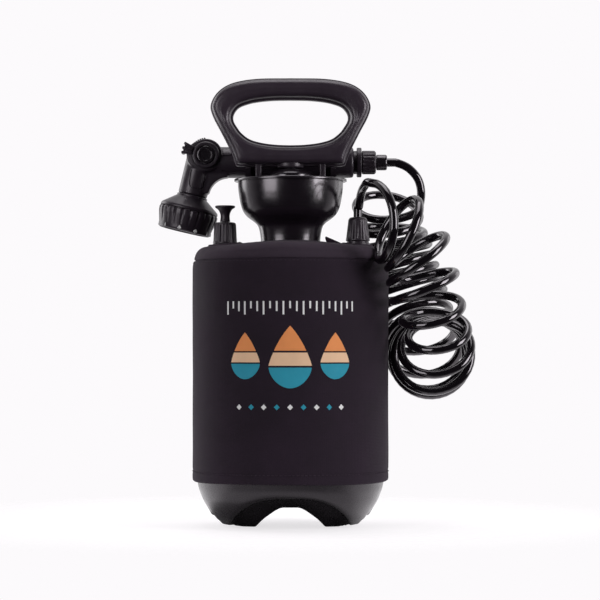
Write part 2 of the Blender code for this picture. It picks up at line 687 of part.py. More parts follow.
def build_cradle(shade):
    """A clip on the rear of the lip with two saddles that hold the stored wand."""
    top = FUNNEL_TOP_Z + GAP + CRADLE_WALL
    low = FUNNEL_TOP_Z - FUNNEL_LIP_HEIGHT - GAP
    outer = FUNNEL_LIP_RADIUS + GAP + CRADLE_WALL
    bowl_radius = bowl(0.0, FUNNEL_TOP_Z - FUNNEL_LIP_HEIGHT)[0][0]
    clip = turned("wand_cradle", [
        (outer, top), (outer, low - CRADLE_WALL), (bowl_radius + GAP, low - CRADLE_WALL), (bowl_radius + GAP, low),
        (FUNNEL_LIP_RADIUS + GAP, low), (FUNNEL_LIP_RADIUS + GAP, FUNNEL_TOP_Z + GAP),
        (FUNNEL_LIP_RADIUS - FUNNEL_WALL, FUNNEL_TOP_Z + GAP), (FUNNEL_LIP_RADIUS - FUNNEL_WALL, top),
    ], BIG_STEPS)
    place(finish(clip, shade), ROOT)
    front = box(
        "cradle_front", (-outer - OVERRUN, -outer - OVERRUN, low - CRADLE_WALL - OVERRUN),
        (outer + OVERRUN, CRADLE_REACH_Y, top + OVERRUN))
    cut(clip, place(as_cutter(front), ROOT))
    half = WAND_RADIUS + GAP + CRADLE_ARM
    rise = WAND_Z - WAND_RADIUS + CRADLE_ARM_RISE
    for name, x in (("saddle_left", -CRADLE_X), ("saddle_right", CRADLE_X)):
        saddle = box(
            name, (x - CRADLE_THICK / 2, WAND_Y - half, FUNNEL_TOP_Z + GAP),
            (x + CRADLE_THICK / 2, WAND_Y + half, rise))
        join(clip, place(as_cutter(saddle), ROOT))
    seat = as_cutter(cylinder("cradle_seat", WAND_RADIUS + GAP, 2 * outer, MID_STEPS))
    cut(clip, place(seat, ROOT, (-outer, WAND_Y, WAND_Z), (0.0, math.pi / 2, 0.0)))
    way_out = box(
        "cradle_way_out", (-outer, WAND_Y - WAND_RADIUS - GAP, WAND_Z),
        (outer, WAND_Y + WAND_RADIUS + GAP, WAND_Z + WAND_RADIUS))
    cut(clip, place(as_cutter(way_out), ROOT))


# Pump that lifts out of the neck
def build_pump(cap_shade, guide_shade, tube_shade, seal_shade):
    pump = empty("pump_lift", ROOT, (0.0, 0.0, LEDGE_TOP_Z))
    top = CAP_TOP_Z - LEDGE_TOP_Z
    bottom = CAP_BOTTOM_Z - LEDGE_TOP_Z
    under_top = top - CAP_TOP_THICK
    bore = CYLINDER_RADIUS + GAP
    hole = ROD_RADIUS + GAP + GUIDE_WALL + GAP
    spigot_end = bottom - CAP_SPIGOT_LENGTH
    cap = turned("pump_cap", [
        (CAP_RADIUS - RIB_DEPTH, top), (CAP_RADIUS, top - RIB_DEPTH), (CAP_RADIUS, bottom + CAP_FLANGE_THICK),
        (CAP_FLANGE_RADIUS, bottom + CAP_FLANGE_THICK), (CAP_FLANGE_RADIUS, bottom),
        (CAP_SPIGOT_RADIUS, bottom), (CAP_SPIGOT_RADIUS, spigot_end), (bore, spigot_end),
        (bore, under_top), (hole, under_top), (hole, top),
    ])
    place(finish(cap, cap_shade), pump)
    for number, turn in enumerate((LUG_DEG, LUG_DEG + 180.0)):
        lug = box(
            f"cap_lug_{number}", (CAP_RADIUS - CAP_TOP_THICK / 2, -LUG_WIDTH / 2, top - LUG_DROP - LUG_HEIGHT),
            (CAP_RADIUS + LUG_REACH, LUG_WIDTH / 2, top - LUG_DROP))
        join(cap, place(as_cutter(lug), pump, rotation=(0.0, 0.0, math.radians(turn))))
    low = GAP
    seal = ring_profile(CAP_FLANGE_RADIUS - GAP, CAP_SPIGOT_RADIUS + GAP + GAP, low + GASKET_THICK, low)
    place(finish(turned("pump_seal", seal), seal_shade), pump)
    head = CYLINDER_TOP_Z - LEDGE_TOP_Z
    floor = CYLINDER_BOTTOM_Z - LEDGE_TOP_Z
    inner = CYLINDER_RADIUS - CYLINDER_WALL
    barrel = turned("pump_cylinder", [
        (CYLINDER_RADIUS, head), (CYLINDER_RADIUS, floor), (VALVE_STEM_RADIUS + GAP, floor),
        (VALVE_STEM_RADIUS + GAP, floor + CYLINDER_FLOOR), (inner, floor + CYLINDER_FLOOR), (inner, head),
    ])
    place(finish(barrel, tube_shade), pump)
    guide_top = top + GAP + GUIDE_FLANGE_THICK
    guide = turned("rod_guide", [
        (GUIDE_FLANGE_RADIUS, guide_top), (GUIDE_FLANGE_RADIUS, top + GAP), (hole - GAP, top + GAP),
        (hole - GAP, under_top), (ROD_RADIUS + GAP, under_top), (ROD_RADIUS + GAP, guide_top),
    ], SMALL_STEPS)
    place(finish(guide, guide_shade), pump)
    disc_top = floor - GAP
    valve = turned("check_valve", [
        (0.0, floor + CYLINDER_FLOOR + VALVE_DISC_THICK),
        (VALVE_STEM_RADIUS, floor + CYLINDER_FLOOR + VALVE_DISC_THICK), (VALVE_STEM_RADIUS, disc_top),
        (VALVE_DISC_RADIUS, disc_top), (VALVE_DISC_RADIUS, disc_top - VALVE_DISC_THICK / 2),
        (0.0, disc_top - VALVE_DISC_THICK),
    ], SMALL_STEPS)
    place(finish(valve, seal_shade), pump)
    return pump


# Handle, rod and piston
def handle_outline():
    half = smooth_line([(x * HANDLE_HALF_WIDTH, z * HANDLE_HEIGHT, 0.0) for x, z in HANDLE_SHARES], 2)
    return mirrored(half)


def opening_outline():
    half = [(x * OPENING_HALF_WIDTH, z * OPENING_HEIGHT) for x, z in OPENING_SHARES]
    return [(x, z + OPENING_BOTTOM) for x, z in mirrored(half)]


def handle_shell(name, border, low_y, high_y, shade, parent):
    """One half of the handle: a rounded ring, cut at the parting plane and hollowed from it."""
    outer = inset(handle_outline(), border)
    inner = inset(opening_outline(), -border)[::-1]
    shell = plate(name, [outer, inner], HANDLE_DEPTH, HANDLE_ROUND)
    place(finish(shell, shade), parent)
    reach = HANDLE_HALF_WIDTH + OVERRUN
    top = HANDLE_HEIGHT + OVERRUN
    far = HANDLE_DEPTH / 2 + OVERRUN
    if low_y <= -HANDLE_DEPTH / 2:
        low, high = (-reach, high_y, -OVERRUN), (reach, far, top)
        hollow_low, hollow_high = low_y + HANDLE_WALL, high_y + OVERRUN
    else:
        low, high = (-reach, -far, -OVERRUN), (reach, low_y, top)
        hollow_low, hollow_high = low_y - OVERRUN, high_y - HANDLE_WALL
    cut(shell, place(as_cutter(box(name + "_parting", low, high)), parent))
    wall = border + HANDLE_WALL
    room = [inset(handle_outline(), wall), inset(opening_outline(), -wall)[::-1]]
    hollow = as_cutter(plate(name + "_hollow", room, hollow_high - hollow_low))
    place(hollow, parent, (0.0, (hollow_low + hollow_high) / 2, 0.0))
    boss = box(
        name + "_rod_boss", (-ROD_BOSS_HALF, -far, -OVERRUN), (ROD_BOSS_HALF, far, OPENING_BOTTOM + HANDLE_WALL))
    cut(hollow, place(as_cutter(boss), parent))
    for number, (x, z) in enumerate(HANDLE_SCREWS):
        post = as_cutter(cylinder(f"{name}_post_{number}", SCREW_POST_RADIUS, 2 * far, SMALL_STEPS))
        cut(hollow, place(post, parent, (x, far, z), (math.pi / 2, 0.0, 0.0)))
    cut(shell, hollow)
    return shell


def add_screws(name, places, parent, back, front, rear_shell, front_shell, shade):
    """Screws along Y from the rear: heads sunk under the plane y = back, points at y = front."""
    head_top = back - SCREW_SINK
    length = head_top - front
    for number, (x, z) in enumerate(places):
        along = (math.pi / 2, 0.0, 0.0)
        screw = turned(f"{name}_{number + 1}", [
            (0.0, length), (SCREW_RADIUS, length), (SCREW_RADIUS, SCREW_HEAD_THICK),
            (SCREW_HEAD_RADIUS, SCREW_HEAD_THICK), (SCREW_HEAD_RADIUS, 0.0), (0.0, 0.0),
        ], SMALL_STEPS)
        place(finish(screw, shade), parent, (x, head_top, z), along)
        hole_length = length + GAP + SCREW_SINK
        hole = as_cutter(cylinder(f"{name}_hole_{number}", SCREW_RADIUS + GAP, hole_length, SMALL_STEPS))
        place(hole, parent, (x, back, z), along)
        sink_depth = SCREW_SINK + SCREW_HEAD_THICK + GAP
        sink = as_cutter(cylinder(f"{name}_sink_{number}", SCREW_HEAD_RADIUS + GAP, sink_depth + back, SMALL_STEPS))
        place(sink, parent, (x, 2 * back, z), along)
        cut(rear_shell, hole, sink)
        cut(front_shell, hole)


def build_plunger(pump, grip_shade, rod_shade, piston_shade, seal_shade, screw_shade):
    plunger = empty("pump_stroke", pump, (0.0, 0.0, HANDLE_BOTTOM_Z - LEDGE_TOP_Z))
    half = HANDLE_DEPTH / 2
    front = handle_shell("handle_front", HANDLE_BORDER, -half, PARTING_Y - GAP, grip_shade, plunger)
    rear = handle_shell("handle_rear", 0.0, PARTING_Y, half, grip_shade, plunger)
    for number, side in enumerate((-1.0, 1.0)):
        outer = side * (LEG_X + LEG_WIDTH / 2)
        inner = side * (LEG_X - LEG_WIDTH / 2)
        toe = inner - side * LEG_TOE
        leg = box(
            f"leg_{number}", (min(outer, inner), -LEG_DEPTH / 2, -LEG_LENGTH),
            (max(outer, inner), LEG_DEPTH / 2, -GAP))
        root = box(
            f"leg_root_{number}", (min(outer, inner), PARTING_Y, -2 * GAP),
            (max(outer, inner), LEG_DEPTH / 2, HANDLE_WALL / 2))
        hook = box(
            f"leg_toe_{number}", (min(outer, toe), -LEG_DEPTH / 2, -LEG_LENGTH - LEG_TOE_HEIGHT),
            (max(outer, toe), LEG_DEPTH / 2, -LEG_LENGTH + GAP))
        for guide in (leg, root, hook):
            join(rear, place(as_cutter(guide), plunger))
    socket = as_cutter(cylinder("rod_socket", ROD_RADIUS + GAP, ROD_SOCKET + GAP + OVERRUN, SMALL_STEPS))
    place(socket, plunger, (0.0, 0.0, -OVERRUN))
    pin_hole = as_cutter(cylinder("pin_hole", PIN_RADIUS + GAP, PIN_LENGTH + 2 * GAP, SMALL_STEPS))
    pin_z = ROD_SOCKET / 2
    place(pin_hole, plunger, (0.0, PIN_LENGTH / 2 + GAP, pin_z), (math.pi / 2, 0.0, 0.0))
    cut(front, socket, pin_hole)
    cut(rear, socket, pin_hole)
    add_screws("handle_screw", HANDLE_SCREWS, plunger, half, PARTING_Y - SCREW_REACH, rear, front, screw_shade)
    foot = PISTON_Z + PISTON_THICK / 2 - HANDLE_BOTTOM_Z
    rod = finish(cylinder("piston_rod", ROD_RADIUS, ROD_SOCKET - foot, SMALL_STEPS), rod_shade)
    cut(place(rod, plunger, (0.0, 0.0, foot)), pin_hole)
    pin = finish(cylinder("rod_pin", PIN_RADIUS, PIN_LENGTH, SMALL_STEPS), rod_shade)
    place(pin, plunger, (0.0, PIN_LENGTH / 2, pin_z), (math.pi / 2, 0.0, 0.0))
    low = PISTON_Z - HANDLE_BOTTOM_Z
    high = low + PISTON_THICK
    radius = CYLINDER_RADIUS - CYLINDER_WALL - GAP
    groove = radius - PISTON_RING_DEPTH
    ring_high = high - PISTON_RING_HEIGHT / 2
    ring_low = ring_high - PISTON_RING_HEIGHT
    piston = turned("piston", [
        (radius, high), (radius, ring_high), (groove, ring_high), (groove, ring_low), (radius, ring_low),
        (radius, low), (0.0, low), (0.0, foot - GAP), (ROD_RADIUS + GAP, foot - GAP), (ROD_RADIUS + GAP, high),
    ])
    place(finish(piston, piston_shade), plunger)
    ring = ring_profile(radius, groove + GAP, ring_high - GAP, ring_low + GAP)
    place(finish(turned("piston_ring", ring), seal_shade), plunger)


# Relief valve on the left of the shoulder
def build_relief(body_shade, knob_shade, seal_shade, metal_shade):
    seat = empty("relief_pull", ROOT, (RELIEF_X, 0.0, PORT_Z))
    flange_top = RELIEF_FLANGE_THICK
    spigot_top = flange_top + RELIEF_SPIGOT_HEIGHT
    foot = -RELIEF_STEM_LENGTH
    floor = foot + RELIEF_SEAT_THICK
    body = turned("relief_body", [
        (PORT_RADIUS, spigot_top), (PORT_RADIUS, flange_top), (PORT_FLANGE_RADIUS, flange_top),
        (PORT_FLANGE_RADIUS, 0.0), (PORT_RADIUS, 0.0), (PORT_RADIUS, foot), (RELIEF_SEAT_RADIUS, foot),
        (RELIEF_SEAT_RADIUS, floor), (RELIEF_CUP_RADIUS, floor), (RELIEF_CUP_RADIUS, spigot_top),
    ], SMALL_STEPS)
    place(finish(body, body_shade), seat)
    gasket = ring_profile(PORT_FLANGE_RADIUS - GAP, PORT_RADIUS + GAP, -GAP, -GAP - GASKET_THICK)
    place(finish(turned("relief_gasket", gasket, SMALL_STEPS), seal_shade), seat)
    nut_low = flange_top + GAP
    nut_top = nut_low + RELIEF_NUT_HEIGHT
    nut = ribbed("relief_nut", RELIEF_NUT_RADIUS, RELIEF_NUT_TOP_RADIUS, RELIEF_NUT_HEIGHT, NUT_RIBS, RIB_DEPTH)
    place(finish(nut, body_shade), seat, (0.0, 0.0, nut_low))
    room_height = spigot_top + GAP - nut_low + OVERRUN
    room = as_cutter(cylinder("relief_nut_room", PORT_RADIUS + GAP, room_height, SMALL_STEPS))
    place(room, seat, (0.0, 0.0, nut_low - OVERRUN))
    way = as_cutter(cylinder("relief_nut_way", KNOB_STEM_RADIUS + GAP, RELIEF_NUT_HEIGHT + OVERRUN, SMALL_STEPS))
    place(way, seat, (0.0, 0.0, nut_low))
    cut(nut, room, way)
    knob_low = nut_top + GAP
    knob_top = knob_low + KNOB_HEIGHT
    stem_low = floor + GAP
    flare = KNOB_NECK_RADIUS + (KNOB_RADIUS - KNOB_NECK_RADIUS) / 3
    knob = turned("relief_knob", [
        (0.0, knob_top), (KNOB_RADIUS, knob_top), (KNOB_RADIUS, knob_top - KNOB_LIP),
        (flare, knob_top - 2.5 * KNOB_LIP), (KNOB_NECK_RADIUS, knob_top - KNOB_HEIGHT / 2),
        (KNOB_NECK_RADIUS, knob_low), (KNOB_STEM_RADIUS, knob_low), (KNOB_STEM_RADIUS, stem_low), (0.0, stem_low),
    ], SMALL_STEPS)
    place(finish(knob, knob_shade), seat)
    seal_top = stem_low + SEAL_THICK
    seal = ring_profile(RELIEF_CUP_RADIUS - GAP, KNOB_STEM_RADIUS + GAP, seal_top, stem_low)
    place(finish(turned("relief_seal", seal, SMALL_STEPS), seal_shade), seat)
    coil_low = seal_top + GAP + SPRING_WIRE / 2
    coil_high = spigot_top - GAP - SPRING_WIRE / 2
    radius = (KNOB_STEM_RADIUS + RELIEF_CUP_RADIUS) / 2
    points = []
    for number in range(SPRING_CURLS * SPRING_POINTS + 1):
        angle = math.tau * number / SPRING_POINTS
        height = coil_low + (coil_high - coil_low) * number / (SPRING_CURLS * SPRING_POINTS)
        points.append((radius * math.cos(angle), radius * math.sin(angle), height))
    spring = tube("relief_spring", points, SPRING_WIRE / 2)
    place(finish(spring, metal_shade), seat)


# Hose outlet on the right of the shoulder, with the dip tube under it
def build_outlet(body_shade, tube_shade, seal_shade, filter_shade):
    port = empty("outlet", ROOT, (OUTLET_X, 0.0, PORT_Z))
    hex_low = OUTLET_FLANGE_THICK
    hex_top = hex_low + OUTLET_HEX_HEIGHT
    spigot_top = hex_top + OUTLET_SPIGOT_HEIGHT
    foot = -OUTLET_TAIL
    fitting = turned("outlet_fitting", [
        (OUTLET_SPIGOT_RADIUS, spigot_top), (OUTLET_SPIGOT_RADIUS, hex_top), (OUTLET_HEX_RADIUS, hex_top),
        (OUTLET_HEX_RADIUS, hex_low), (PORT_FLANGE_RADIUS, hex_low), (PORT_FLANGE_RADIUS, 0.0), (PORT_RADIUS, 0.0),
        (PORT_RADIUS, foot + OUTLET_BARB_LENGTH), (OUTLET_BARB_RADIUS, foot + OUTLET_BARB_LENGTH),
        (OUTLET_BARB_RADIUS, foot), (OUTLET_BORE, foot), (OUTLET_BORE, spigot_top),
    ], SMALL_STEPS)
    place(finish(fitting, body_shade), port)
    gasket = ring_profile(PORT_FLANGE_RADIUS - GAP, PORT_RADIUS + GAP, -GAP, -GAP - GASKET_THICK)
    place(finish(turned("outlet_gasket", gasket, SMALL_STEPS), seal_shade), port)
    nut_low = hex_top + GAP
    nut = ribbed("outlet_nut", OUTLET_NUT_RADIUS, OUTLET_NUT_TOP_RADIUS, OUTLET_NUT_HEIGHT, NUT_RIBS, RIB_DEPTH)
    place(finish(nut, body_shade), port, (0.0, 0.0, nut_low))
    room_height = OUTLET_NUT_HEIGHT - NUT_TOP_WALL + OVERRUN
    room = as_cutter(cylinder("outlet_nut_room", OUTLET_SPIGOT_RADIUS + GAP, room_height, SMALL_STEPS))
    place(room, port, (0.0, 0.0, nut_low - OVERRUN))
    way = as_cutter(cylinder("outlet_nut_way", OUTLET_BORE + GAP, OUTLET_NUT_HEIGHT + OVERRUN, SMALL_STEPS))
    place(way, port, (0.0, 0.0, nut_low))
    cut(nut, room, way)
    tube_top = foot + OUTLET_BARB_LENGTH - GAP
    tube_low = DIP_END_Z - PORT_Z
    dip = turned("dip_tube", ring_profile(DIP_RADIUS, DIP_RADIUS - DIP_WALL, tube_top, tube_low), SMALL_STEPS)
    place(finish(dip, tube_shade), port)
    strainer_top = tube_low + FILTER_HEIGHT - FILTER_FOOT
    strainer = turned("dip_filter", [
        (FILTER_RADIUS, strainer_top), (FILTER_RADIUS, tube_low - FILTER_FOOT), (0.0, tube_low - FILTER_FOOT),
        (0.0, tube_low - GAP), (DIP_RADIUS + GAP, tube_low - GAP), (DIP_RADIUS + GAP, strainer_top),
    ], SMALL_STEPS)
    place(finish(strainer, filter_shade), port)


# Wand with its elbow, valve and spray head
def head_point(distance):
    """Place down the head's axis, at a distance from the level of the hub's centre."""
    return (HUB_X - NECK_OUTSET - distance * math.sin(HEAD_TILT), HUB_Z - WAND_Z - distance * math.cos(HEAD_TILT))


def wand_half(name, side, shade, wand):
    """One moulded half of the wand: grip, hub, neck and the web inside the elbow."""
    across = (0.0, math.pi / 2, 0.0)
    grip_length = WAND_END_X - HUB_X
    half = cylinder(name, WAND_RADIUS, grip_length, MID_STEPS)
    place(finish(half, shade), wand, (HUB_X, 0.0, 0.0), across)
    rounding = half.modifiers.new("end_round", "BEVEL")
    rounding.width = WAND_END_ROUND
    rounding.segments = 2
    rounding.limit_method = "ANGLE"
    rounding.angle_limit = math.radians(60.0)
    hub = as_cutter(cylinder(name + "_hub", HUB_RADIUS, HUB_DEPTH, MID_STEPS))
    place(hub, wand, (HUB_X, HUB_DEPTH / 2, HUB_Z - WAND_Z), (math.pi / 2, 0.0, 0.0))
    elbow = as_cutter(cylinder(name + "_elbow", NECK_ROUND_RADIUS, HUB_DEPTH - 2 * GAP, MID_STEPS))
    place(elbow, wand, (HUB_X - NECK_OUTSET, HUB_DEPTH / 2 - GAP, HUB_Z - WAND_Z), (math.pi / 2, 0.0, 0.0))
    neck = as_cutter(cylinder(name + "_neck", NECK_ROUND_RADIUS, NECK_LENGTH, MID_STEPS))
    end = head_point(NECK_LENGTH)
    place(neck, wand, (end[0], 0.0, end[1]), (0.0, HEAD_TILT, 0.0))
    web = as_cutter(plate(name + "_web", [web_outline()], GUSSET_DEPTH))
    place(web, wand)
    join(half, hub, elbow, neck, web)
    reach = grip_length + HEAD_RADIUS
    depth = HUB_DEPTH
    low_y, high_y = (-depth, GAP / 2) if side > 0 else (-GAP / 2, depth)
    away = box(name + "_away", (HUB_X - reach, low_y, -reach), (WAND_END_X + OVERRUN, high_y, reach))
    cut(half, place(as_cutter(away), wand))
    core = as_cutter(cylinder(name + "_core", CORE_RADIUS + GAP, CORE_DEPTH + GAP + OVERRUN, SMALL_STEPS))
    place(core, wand, (HUB_X, -HUB_DEPTH / 2 + CORE_DEPTH + GAP, HUB_Z - WAND_Z), (math.pi / 2, 0.0, 0.0))
    bore = as_cutter(cylinder(name + "_bore", WATER_TUBE_RADIUS + GAP, grip_length, SMALL_STEPS))
    place(bore, wand, (HUB_X + CORE_RADIUS / 2, 0.0, 0.0), across)
    throat = as_cutter(cylinder(name + "_throat", WATER_TUBE_RADIUS + GAP, NECK_LENGTH, SMALL_STEPS))
    start = head_point(NECK_LENGTH + OVERRUN)
    place(throat, wand, (start[0], 0.0, start[1]), (0.0, HEAD_TILT, 0.0))
    cut(half, core, bore, throat)
    return half


def web_outline():
    """Fills the inside of the elbow up to a hollow arc that meets the grip and the neck."""
    low = head_point(NECK_LENGTH * GUSSET_LOW_SHARE)
    centre_x = low[0] + (NECK_ROUND_RADIUS + GUSSET_RADIUS) / math.cos(HEAD_TILT)
    centre_z = -WAND_RADIUS - GUSSET_RADIUS
    line = [(HUB_X, 0.0), (centre_x, 0.0)]
    for number in range(GUSSET_STEPS + 1):
        angle = math.pi / 2 + math.radians(GUSSET_TURN_DEG) * number / GUSSET_STEPS
        line.append((centre_x + GUSSET_RADIUS * math.cos(angle), centre_z + GUSSET_RADIUS * math.sin(angle)))
    line.append((low[0], line[-1][1]))
    return line


def build_wand(shade, gloss_shade, tube_shade, seal_shade, screw_shade):
    wand = empty("wand_lift", ROOT, (0.0, WAND_Y, WAND_Z))
    front = wand_half("wand_shell_front", -1, shade, wand)
    rear = wand_half("wand_shell_rear", 1, shade, wand)
    places = [(x, WAND_SCREW_Z) for x in WAND_SCREW_XS]
    add_screws("wand_screw", places, wand, WAND_SCREW_BACK, WAND_SCREW_FRONT, rear, front, screw_shade)
    across = (0.0, math.pi / 2, 0.0)
    bore = WATER_TUBE_RADIUS - WATER_TUBE_WALL
    tube_start = HUB_X + CORE_RADIUS + 2 * GAP
    length = WAND_END_X - GAP - tube_start
    pipe = turned("water_tube", ring_profile(WATER_TUBE_RADIUS, bore, length, 0.0), SMALL_STEPS)
    place(finish(pipe, tube_shade), wand, (tube_start, 0.0, 0.0), across)
    neck_length = NECK_LENGTH - CORE_RADIUS - 3 * GAP
    neck_pipe = turned("neck_tube", ring_profile(WATER_TUBE_RADIUS, bore, neck_length, 0.0), SMALL_STEPS)
    end = head_point(NECK_LENGTH - GAP)
    place(finish(neck_pipe, tube_shade), wand, (end[0], 0.0, end[1]), (0.0, HEAD_TILT, 0.0))
    build_lever(wand, shade, gloss_shade, tube_shade)
    build_head(wand, shade, gloss_shade)
    build_wand_end(wand, shade, gloss_shade, seal_shade)
    return wand


def build_lever(wand, shade, cap_shade, core_shade):
    """Thumb lever that turns the valve in the hub."""
    lever = empty("lever_turn", wand, (HUB_X, 0.0, HUB_Z - WAND_Z), (math.pi / 2, 0.0, 0.0))
    back = HUB_DEPTH / 2 + GAP
    front = back + LEVER_THICK
    disc = turned("thumb_lever", [
        (LEVER_RADIUS - RIB_DEPTH, front), (LEVER_RADIUS, front - RIB_DEPTH), (LEVER_RADIUS, back),
        (SPINDLE_RADIUS + GAP, back), (SPINDLE_RADIUS + GAP, front - LEVER_RECESS_DEPTH),
        (LEVER_RECESS, front - LEVER_RECESS_DEPTH), (LEVER_RECESS, front),
    ])
    place(finish(disc, shade), lever)
    turn = math.radians(LEVER_TAB_DEG)
    inner = LEVER_RECESS + (LEVER_RADIUS - LEVER_RECESS) / 2
    arm = box(
        "lever_arm", (inner, -LEVER_TAB_WIDTH / 2, back + GAP), (LEVER_TAB_REACH, LEVER_TAB_WIDTH / 2, front - GAP))
    tab_inner = NECK_OUTSET + NECK_ROUND_RADIUS + 2 * GAP
    tab = box(
        "lever_tab", (tab_inner, -LEVER_TAB_WIDTH / 2, front - LEVER_TAB_DEPTH),
        (LEVER_TAB_REACH, LEVER_TAB_WIDTH / 2, front - GAP))
    join(disc, place(as_cutter(arm), lever, rotation=(0.0, 0.0, turn)))
    join(disc, place(as_cutter(tab), lever, rotation=(0.0, 0.0, turn)))
    cap_back = front - LEVER_RECESS_DEPTH + GAP
    cap = cylinder(
        "lever_cap", LEVER_RECESS - GAP, LEVER_CAP_THICK, MID_STEPS, LEVER_RECESS - LEVER_CAP_THICK / 2)
    place(finish(cap, cap_shade), lever, (0.0, 0.0, cap_back))
    core_back = HUB_DEPTH / 2 - CORE_DEPTH
    core = turned("valve_core", [
        (0.0, cap_back - GAP), (SPINDLE_RADIUS, cap_back - GAP), (SPINDLE_RADIUS, HUB_DEPTH / 2),
        (CORE_RADIUS, HUB_DEPTH / 2), (CORE_RADIUS, core_back), (0.0, core_back),
    ], SMALL_STEPS)
    place(finish(core, core_shade), lever)


def build_head(wand, shade, plate_shade):
    end = head_point(NECK_LENGTH)
    head = empty("dial_turn", wand, (end[0], 0.0, end[1]), (0.0, HEAD_TILT, 0.0))
    low = -HEAD_HEIGHT
    axle_end = low - DIAL_HEIGHT + NOZZLE_RECESS + NOZZLE_THICK + 2 * GAP
    cone = turned("spray_head", [
        (0.0, -GAP), (NECK_ROUND_RADIUS, -GAP), (NECK_ROUND_RADIUS + GAP, -HEAD_WALL / 2),
        (HEAD_RADIUS, low + HEAD_WALL / 2), (HEAD_RADIUS, low), (HEAD_RADIUS - HEAD_WALL, low),
        (NECK_ROUND_RADIUS - HEAD_WALL, -HEAD_WALL - HEAD_WALL / 2), (HEAD_AXLE_RADIUS, -HEAD_WALL - HEAD_WALL / 2),
        (HEAD_AXLE_RADIUS, axle_end), (0.0, axle_end),
    ])
    place(finish(cone, shade), head)
    dial_top = low - GAP
    dial_low = dial_top - DIAL_HEIGHT
    dial = ribbed(
        "spray_dial", DIAL_FACE_RADIUS, DIAL_TOP_RADIUS, DIAL_HEIGHT, DIAL_FLUTES, DIAL_FLUTE_DEPTH)
    place(finish(dial, shade), head, (0.0, 0.0, dial_low))
    room = as_cutter(cylinder("dial_room", DIAL_BORE, DIAL_HEIGHT - DIAL_FLOOR + OVERRUN, MID_STEPS))
    place(room, head, (0.0, 0.0, dial_low - OVERRUN))
    way = as_cutter(cylinder("dial_axle_way", HEAD_AXLE_RADIUS + GAP, DIAL_HEIGHT + OVERRUN, SMALL_STEPS))
    place(way, head, (0.0, 0.0, dial_low))
    cut(dial, room, way)
    face = cylinder("nozzle_plate", DIAL_BORE - GAP, NOZZLE_THICK, MID_STEPS)
    place(finish(face, plate_shade), head, (0.0, 0.0, dial_low + NOZZLE_RECESS))


def build_wand_end(wand, shade, ferrule_shade, seal_shade):
    """Collar, seal, nut and ferrule where the hose joins the wand."""
    end = empty("wand_end", wand, (WAND_END_X, 0.0, 0.0), (0.0, math.pi / 2, 0.0))
    neck_end = GAP + COLLAR_NECK_LENGTH
    collar_end = neck_end + COLLAR_THICK
    stud_end = collar_end + STUD_LENGTH
    collar = turned("wand_collar", [
        (STUD_RADIUS, stud_end), (STUD_RADIUS, collar_end), (COLLAR_RADIUS, collar_end), (COLLAR_RADIUS, neck_end),
        (COLLAR_NECK_RADIUS, neck_end), (COLLAR_NECK_RADIUS, GAP), (STUD_BORE, GAP), (STUD_BORE, stud_end),
    ], MID_STEPS)
    place(finish(collar, shade), end)
    gasket_low = stud_end + GAP
    gasket_end = gasket_low + GASKET_THICK
    seal = ring_profile(STUD_RADIUS - GAP, STUD_BORE, gasket_end, gasket_low)
    place(finish(turned("wand_gasket", seal, SMALL_STEPS), seal_shade), end)
    nut_low = collar_end + GAP
    nut_end = nut_low + WAND_NUT_LENGTH
    nut = ribbed("wand_nut", WAND_NUT_RADIUS, WAND_NUT_RADIUS, WAND_NUT_LENGTH, NUT_RIBS, RIB_DEPTH)
    place(finish(nut, shade), end, (0.0, 0.0, nut_low))
    room_length = WAND_NUT_LENGTH - WAND_NUT_WALL + OVERRUN
    room = as_cutter(cylinder("wand_nut_room", STUD_RADIUS + GAP, room_length, MID_STEPS))
    place(room, end, (0.0, 0.0, nut_low - OVERRUN))
    way = as_cutter(cylinder("wand_nut_way", FERRULE_NECK + GAP, WAND_NUT_LENGTH + OVERRUN, MID_STEPS))
    place(way, end, (0.0, 0.0, nut_low))
    cut(nut, room, way)
    flange_low = gasket_end + GAP
    flange_end = nut_end - WAND_NUT_WALL - GAP
    shoulder_low = nut_end + GAP
    ferrule_end = shoulder_low + FERRULE_LENGTH
    ferrule = turned("hose_ferrule", [
        (0.0, ferrule_end), (FERRULE_RADIUS - RIB_DEPTH, ferrule_end), (FERRULE_RADIUS, ferrule_end - RIB_DEPTH),
        (FERRULE_RADIUS, shoulder_low), (FERRULE_NECK, shoulder_low), (FERRULE_NECK, flange_end),
        (STUD_RADIUS, flange_end), (STUD_RADIUS, flange_low), (0.0, flange_low),
    ])
    place(finish(ferrule, ferrule_shade), end)


# Recoil hose
def coil_points():
    """Centre line of the coil: a circle that turns round each ring's centre in its own plane."""
    centres = [Vector(centre) * MM for centre, _, _ in COIL_RINGS]
    facings = [Vector(facing) for _, facing, _ in COIL_RINGS]
    radii = [radius * MM for _, _, radius in COIL_RINGS]
    centres = [2 * centres[0] - centres[1], *centres]
    facings = [2 * facings[0] - facings[1], *facings]
    radii = [radii[0], *radii]
    count = round((COIL_LAST_TURN - COIL_FIRST_TURN) * COIL_POINTS)
    high_side = Vector((0.0, 0.0, 1.0))
    points = []
    for number in range(count + 1):
        turned_by = (COIL_LAST_TURN - COIL_FIRST_TURN) * number / count
        turn = COIL_FIRST_TURN + turned_by
        row = min(max(math.floor(turn), 0), len(COIL_RINGS) - 3)
        share = turn - row
        centre = between(*centres[row:row + 4], share)
        facing = between(*facings[row:row + 4], share).normalized()
        radius = between(*radii[row:row + 4], share)
        high_side = (high_side - facing * high_side.dot(facing)).normalized()
        forward = facing.cross(high_side)
        angle = math.tau * turned_by
        points.append(centre + radius * (math.cos(angle) * high_side + math.sin(angle) * forward))
    return points


